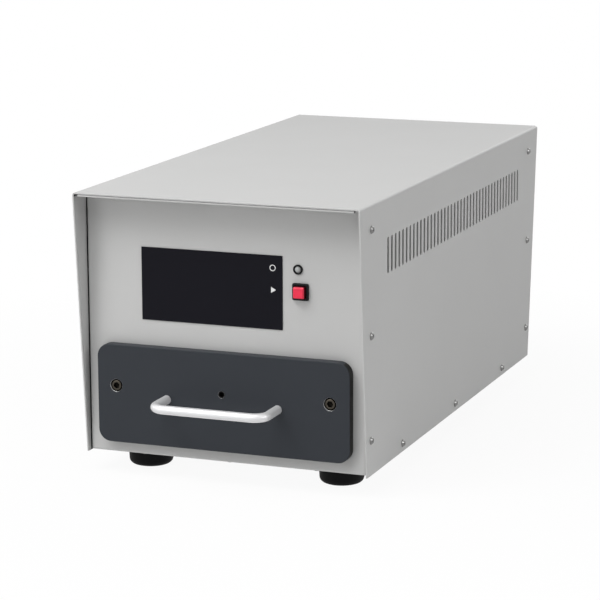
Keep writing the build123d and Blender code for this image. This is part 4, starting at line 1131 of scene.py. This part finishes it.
class DEGAUSSER_OT_studio(Operator):
    """Pale floor, white surroundings, six soft lights and the camera"""
    bl_idname = "degausser.studio"
    bl_label = "Studio"

    def execute(self, context):
        scene = context.scene
        studio = scene.degausser_studio
        scene.view_settings.view_transform = "Standard"

        mesh = bpy.data.meshes.new("floor")
        far = 20.0
        mesh.from_pydata([(-far, -far, 0), (far, -far, 0), (far, far, 0), (-far, far, 0)], [], [(0, 1, 2, 3)])
        floor = bpy.data.objects.new("floor", mesh)
        scene.collection.objects.link(floor)
        material = bpy.data.materials.new("floor_white")
        material.use_nodes = True
        nodes = Nodes(material.node_tree)
        matt = nodes.node("ShaderNodeBsdfDiffuse", None, {"Color": (*studio.floor, 1.0)})
        glow = nodes.node("ShaderNodeEmission", None, {"Color": WHITE, "Strength": 1.0})
        spot = nodes.node("ShaderNodeTexCoord", output="Object")
        away = nodes.node("ShaderNodeVectorMath", {"operation": "LENGTH"}, {0: spot}, "Value")
        rise = (1 - studio.floor_glow) / studio.floor_reach
        share = (studio.floor_glow + rise * away).smaller(1.0) * seen_directly(nodes)
        look = nodes.node("ShaderNodeMixShader", None, {0: share, 1: matt, 2: glow})
        nodes.node("ShaderNodeOutputMaterial", None, {"Surface": look})
        mesh.materials.append(material)

        world = bpy.data.worlds.new("studio_white")
        world.use_nodes = True
        scene.world = world
        nodes = Nodes(world.node_tree)
        dim = nodes.node("ShaderNodeBackground", None, {"Color": WHITE, "Strength": studio.ambient})
        white = nodes.node("ShaderNodeBackground", None, {"Color": WHITE, "Strength": 1.0})
        look = nodes.node("ShaderNodeMixShader", None, {0: seen_directly(nodes), 1: dim, 2: white})
        nodes.node("ShaderNodeOutputWorld", None, {"Surface": look})

        middle = (CAD_LOW + CAD_HIGH) / 2
        for name, (place, width) in LIGHTS.items():
            add_light(name, place, middle, width, getattr(studio, name))

        camera = bpy.data.cameras.new("camera")
        camera.lens = studio.lens
        camera.clip_end = 100.0
        view = bpy.data.objects.new("camera", camera)
        tilt = Matrix.Rotation(studio.yaw, 4, "Z") @ Matrix.Rotation(math.pi / 2 - studio.pitch, 4, "X")
        rolled = Matrix.Rotation(studio.roll, 4, "Z")
        view.matrix_world = Matrix.Translation(studio.camera_place) @ tilt @ rolled
        scene.collection.objects.link(view)
        scene.camera = view
        return {"FINISHED"}


class DEGAUSSER_PT_pieces(Panel):
    """Pieces and studio of the degausser"""
    bl_idname = "DEGAUSSER_PT_pieces"
    bl_label = "Degausser"
    bl_space_type = "VIEW_3D"
    bl_region_type = "UI"
    bl_category = "Degausser"

    def draw(self, context):
        for operator in OPERATORS:
            self.layout.operator(operator.bl_idname)
        for name in GROUPS:
            group = getattr(context.scene, name)
            for prop in group.bl_rna.properties:
                if prop.identifier not in ("rna_type", "name"):
                    self.layout.prop(group, prop.identifier)


OPERATORS = (
    DEGAUSSER_OT_finishes,
    DEGAUSSER_OT_screws,
    DEGAUSSER_OT_handle,
    DEGAUSSER_OT_bare_edges,
    DEGAUSSER_OT_feet,
    DEGAUSSER_OT_lamp,
    DEGAUSSER_OT_button,
    DEGAUSSER_OT_fan,
    DEGAUSSER_OT_tray_pad,
    DEGAUSSER_OT_marks,
    DEGAUSSER_OT_studio,
)
GROUPS = {
    "degausser_colours": SurfaceColours,
    "degausser_sizes": PieceSizes,
    "degausser_studio": StudioSettings,
}
CLASSES = (*GROUPS.values(), *OPERATORS, DEGAUSSER_PT_pieces)


def register():
    for item in CLASSES:
        bpy.utils.register_class(item)
    for name, group in GROUPS.items():
        setattr(bpy.types.Scene, name, PointerProperty(type=group))


def unregister():
    for name in GROUPS:
        delattr(bpy.types.Scene, name)
    for item in reversed(CLASSES):
        bpy.utils.unregister_class(item)


def main():
    """Register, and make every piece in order."""
    register()
    for operator in OPERATORS:
        group, name = operator.bl_idname.split(".")
        getattr(getattr(bpy.ops, group), name)()


if __name__ == "__main__":
    main()
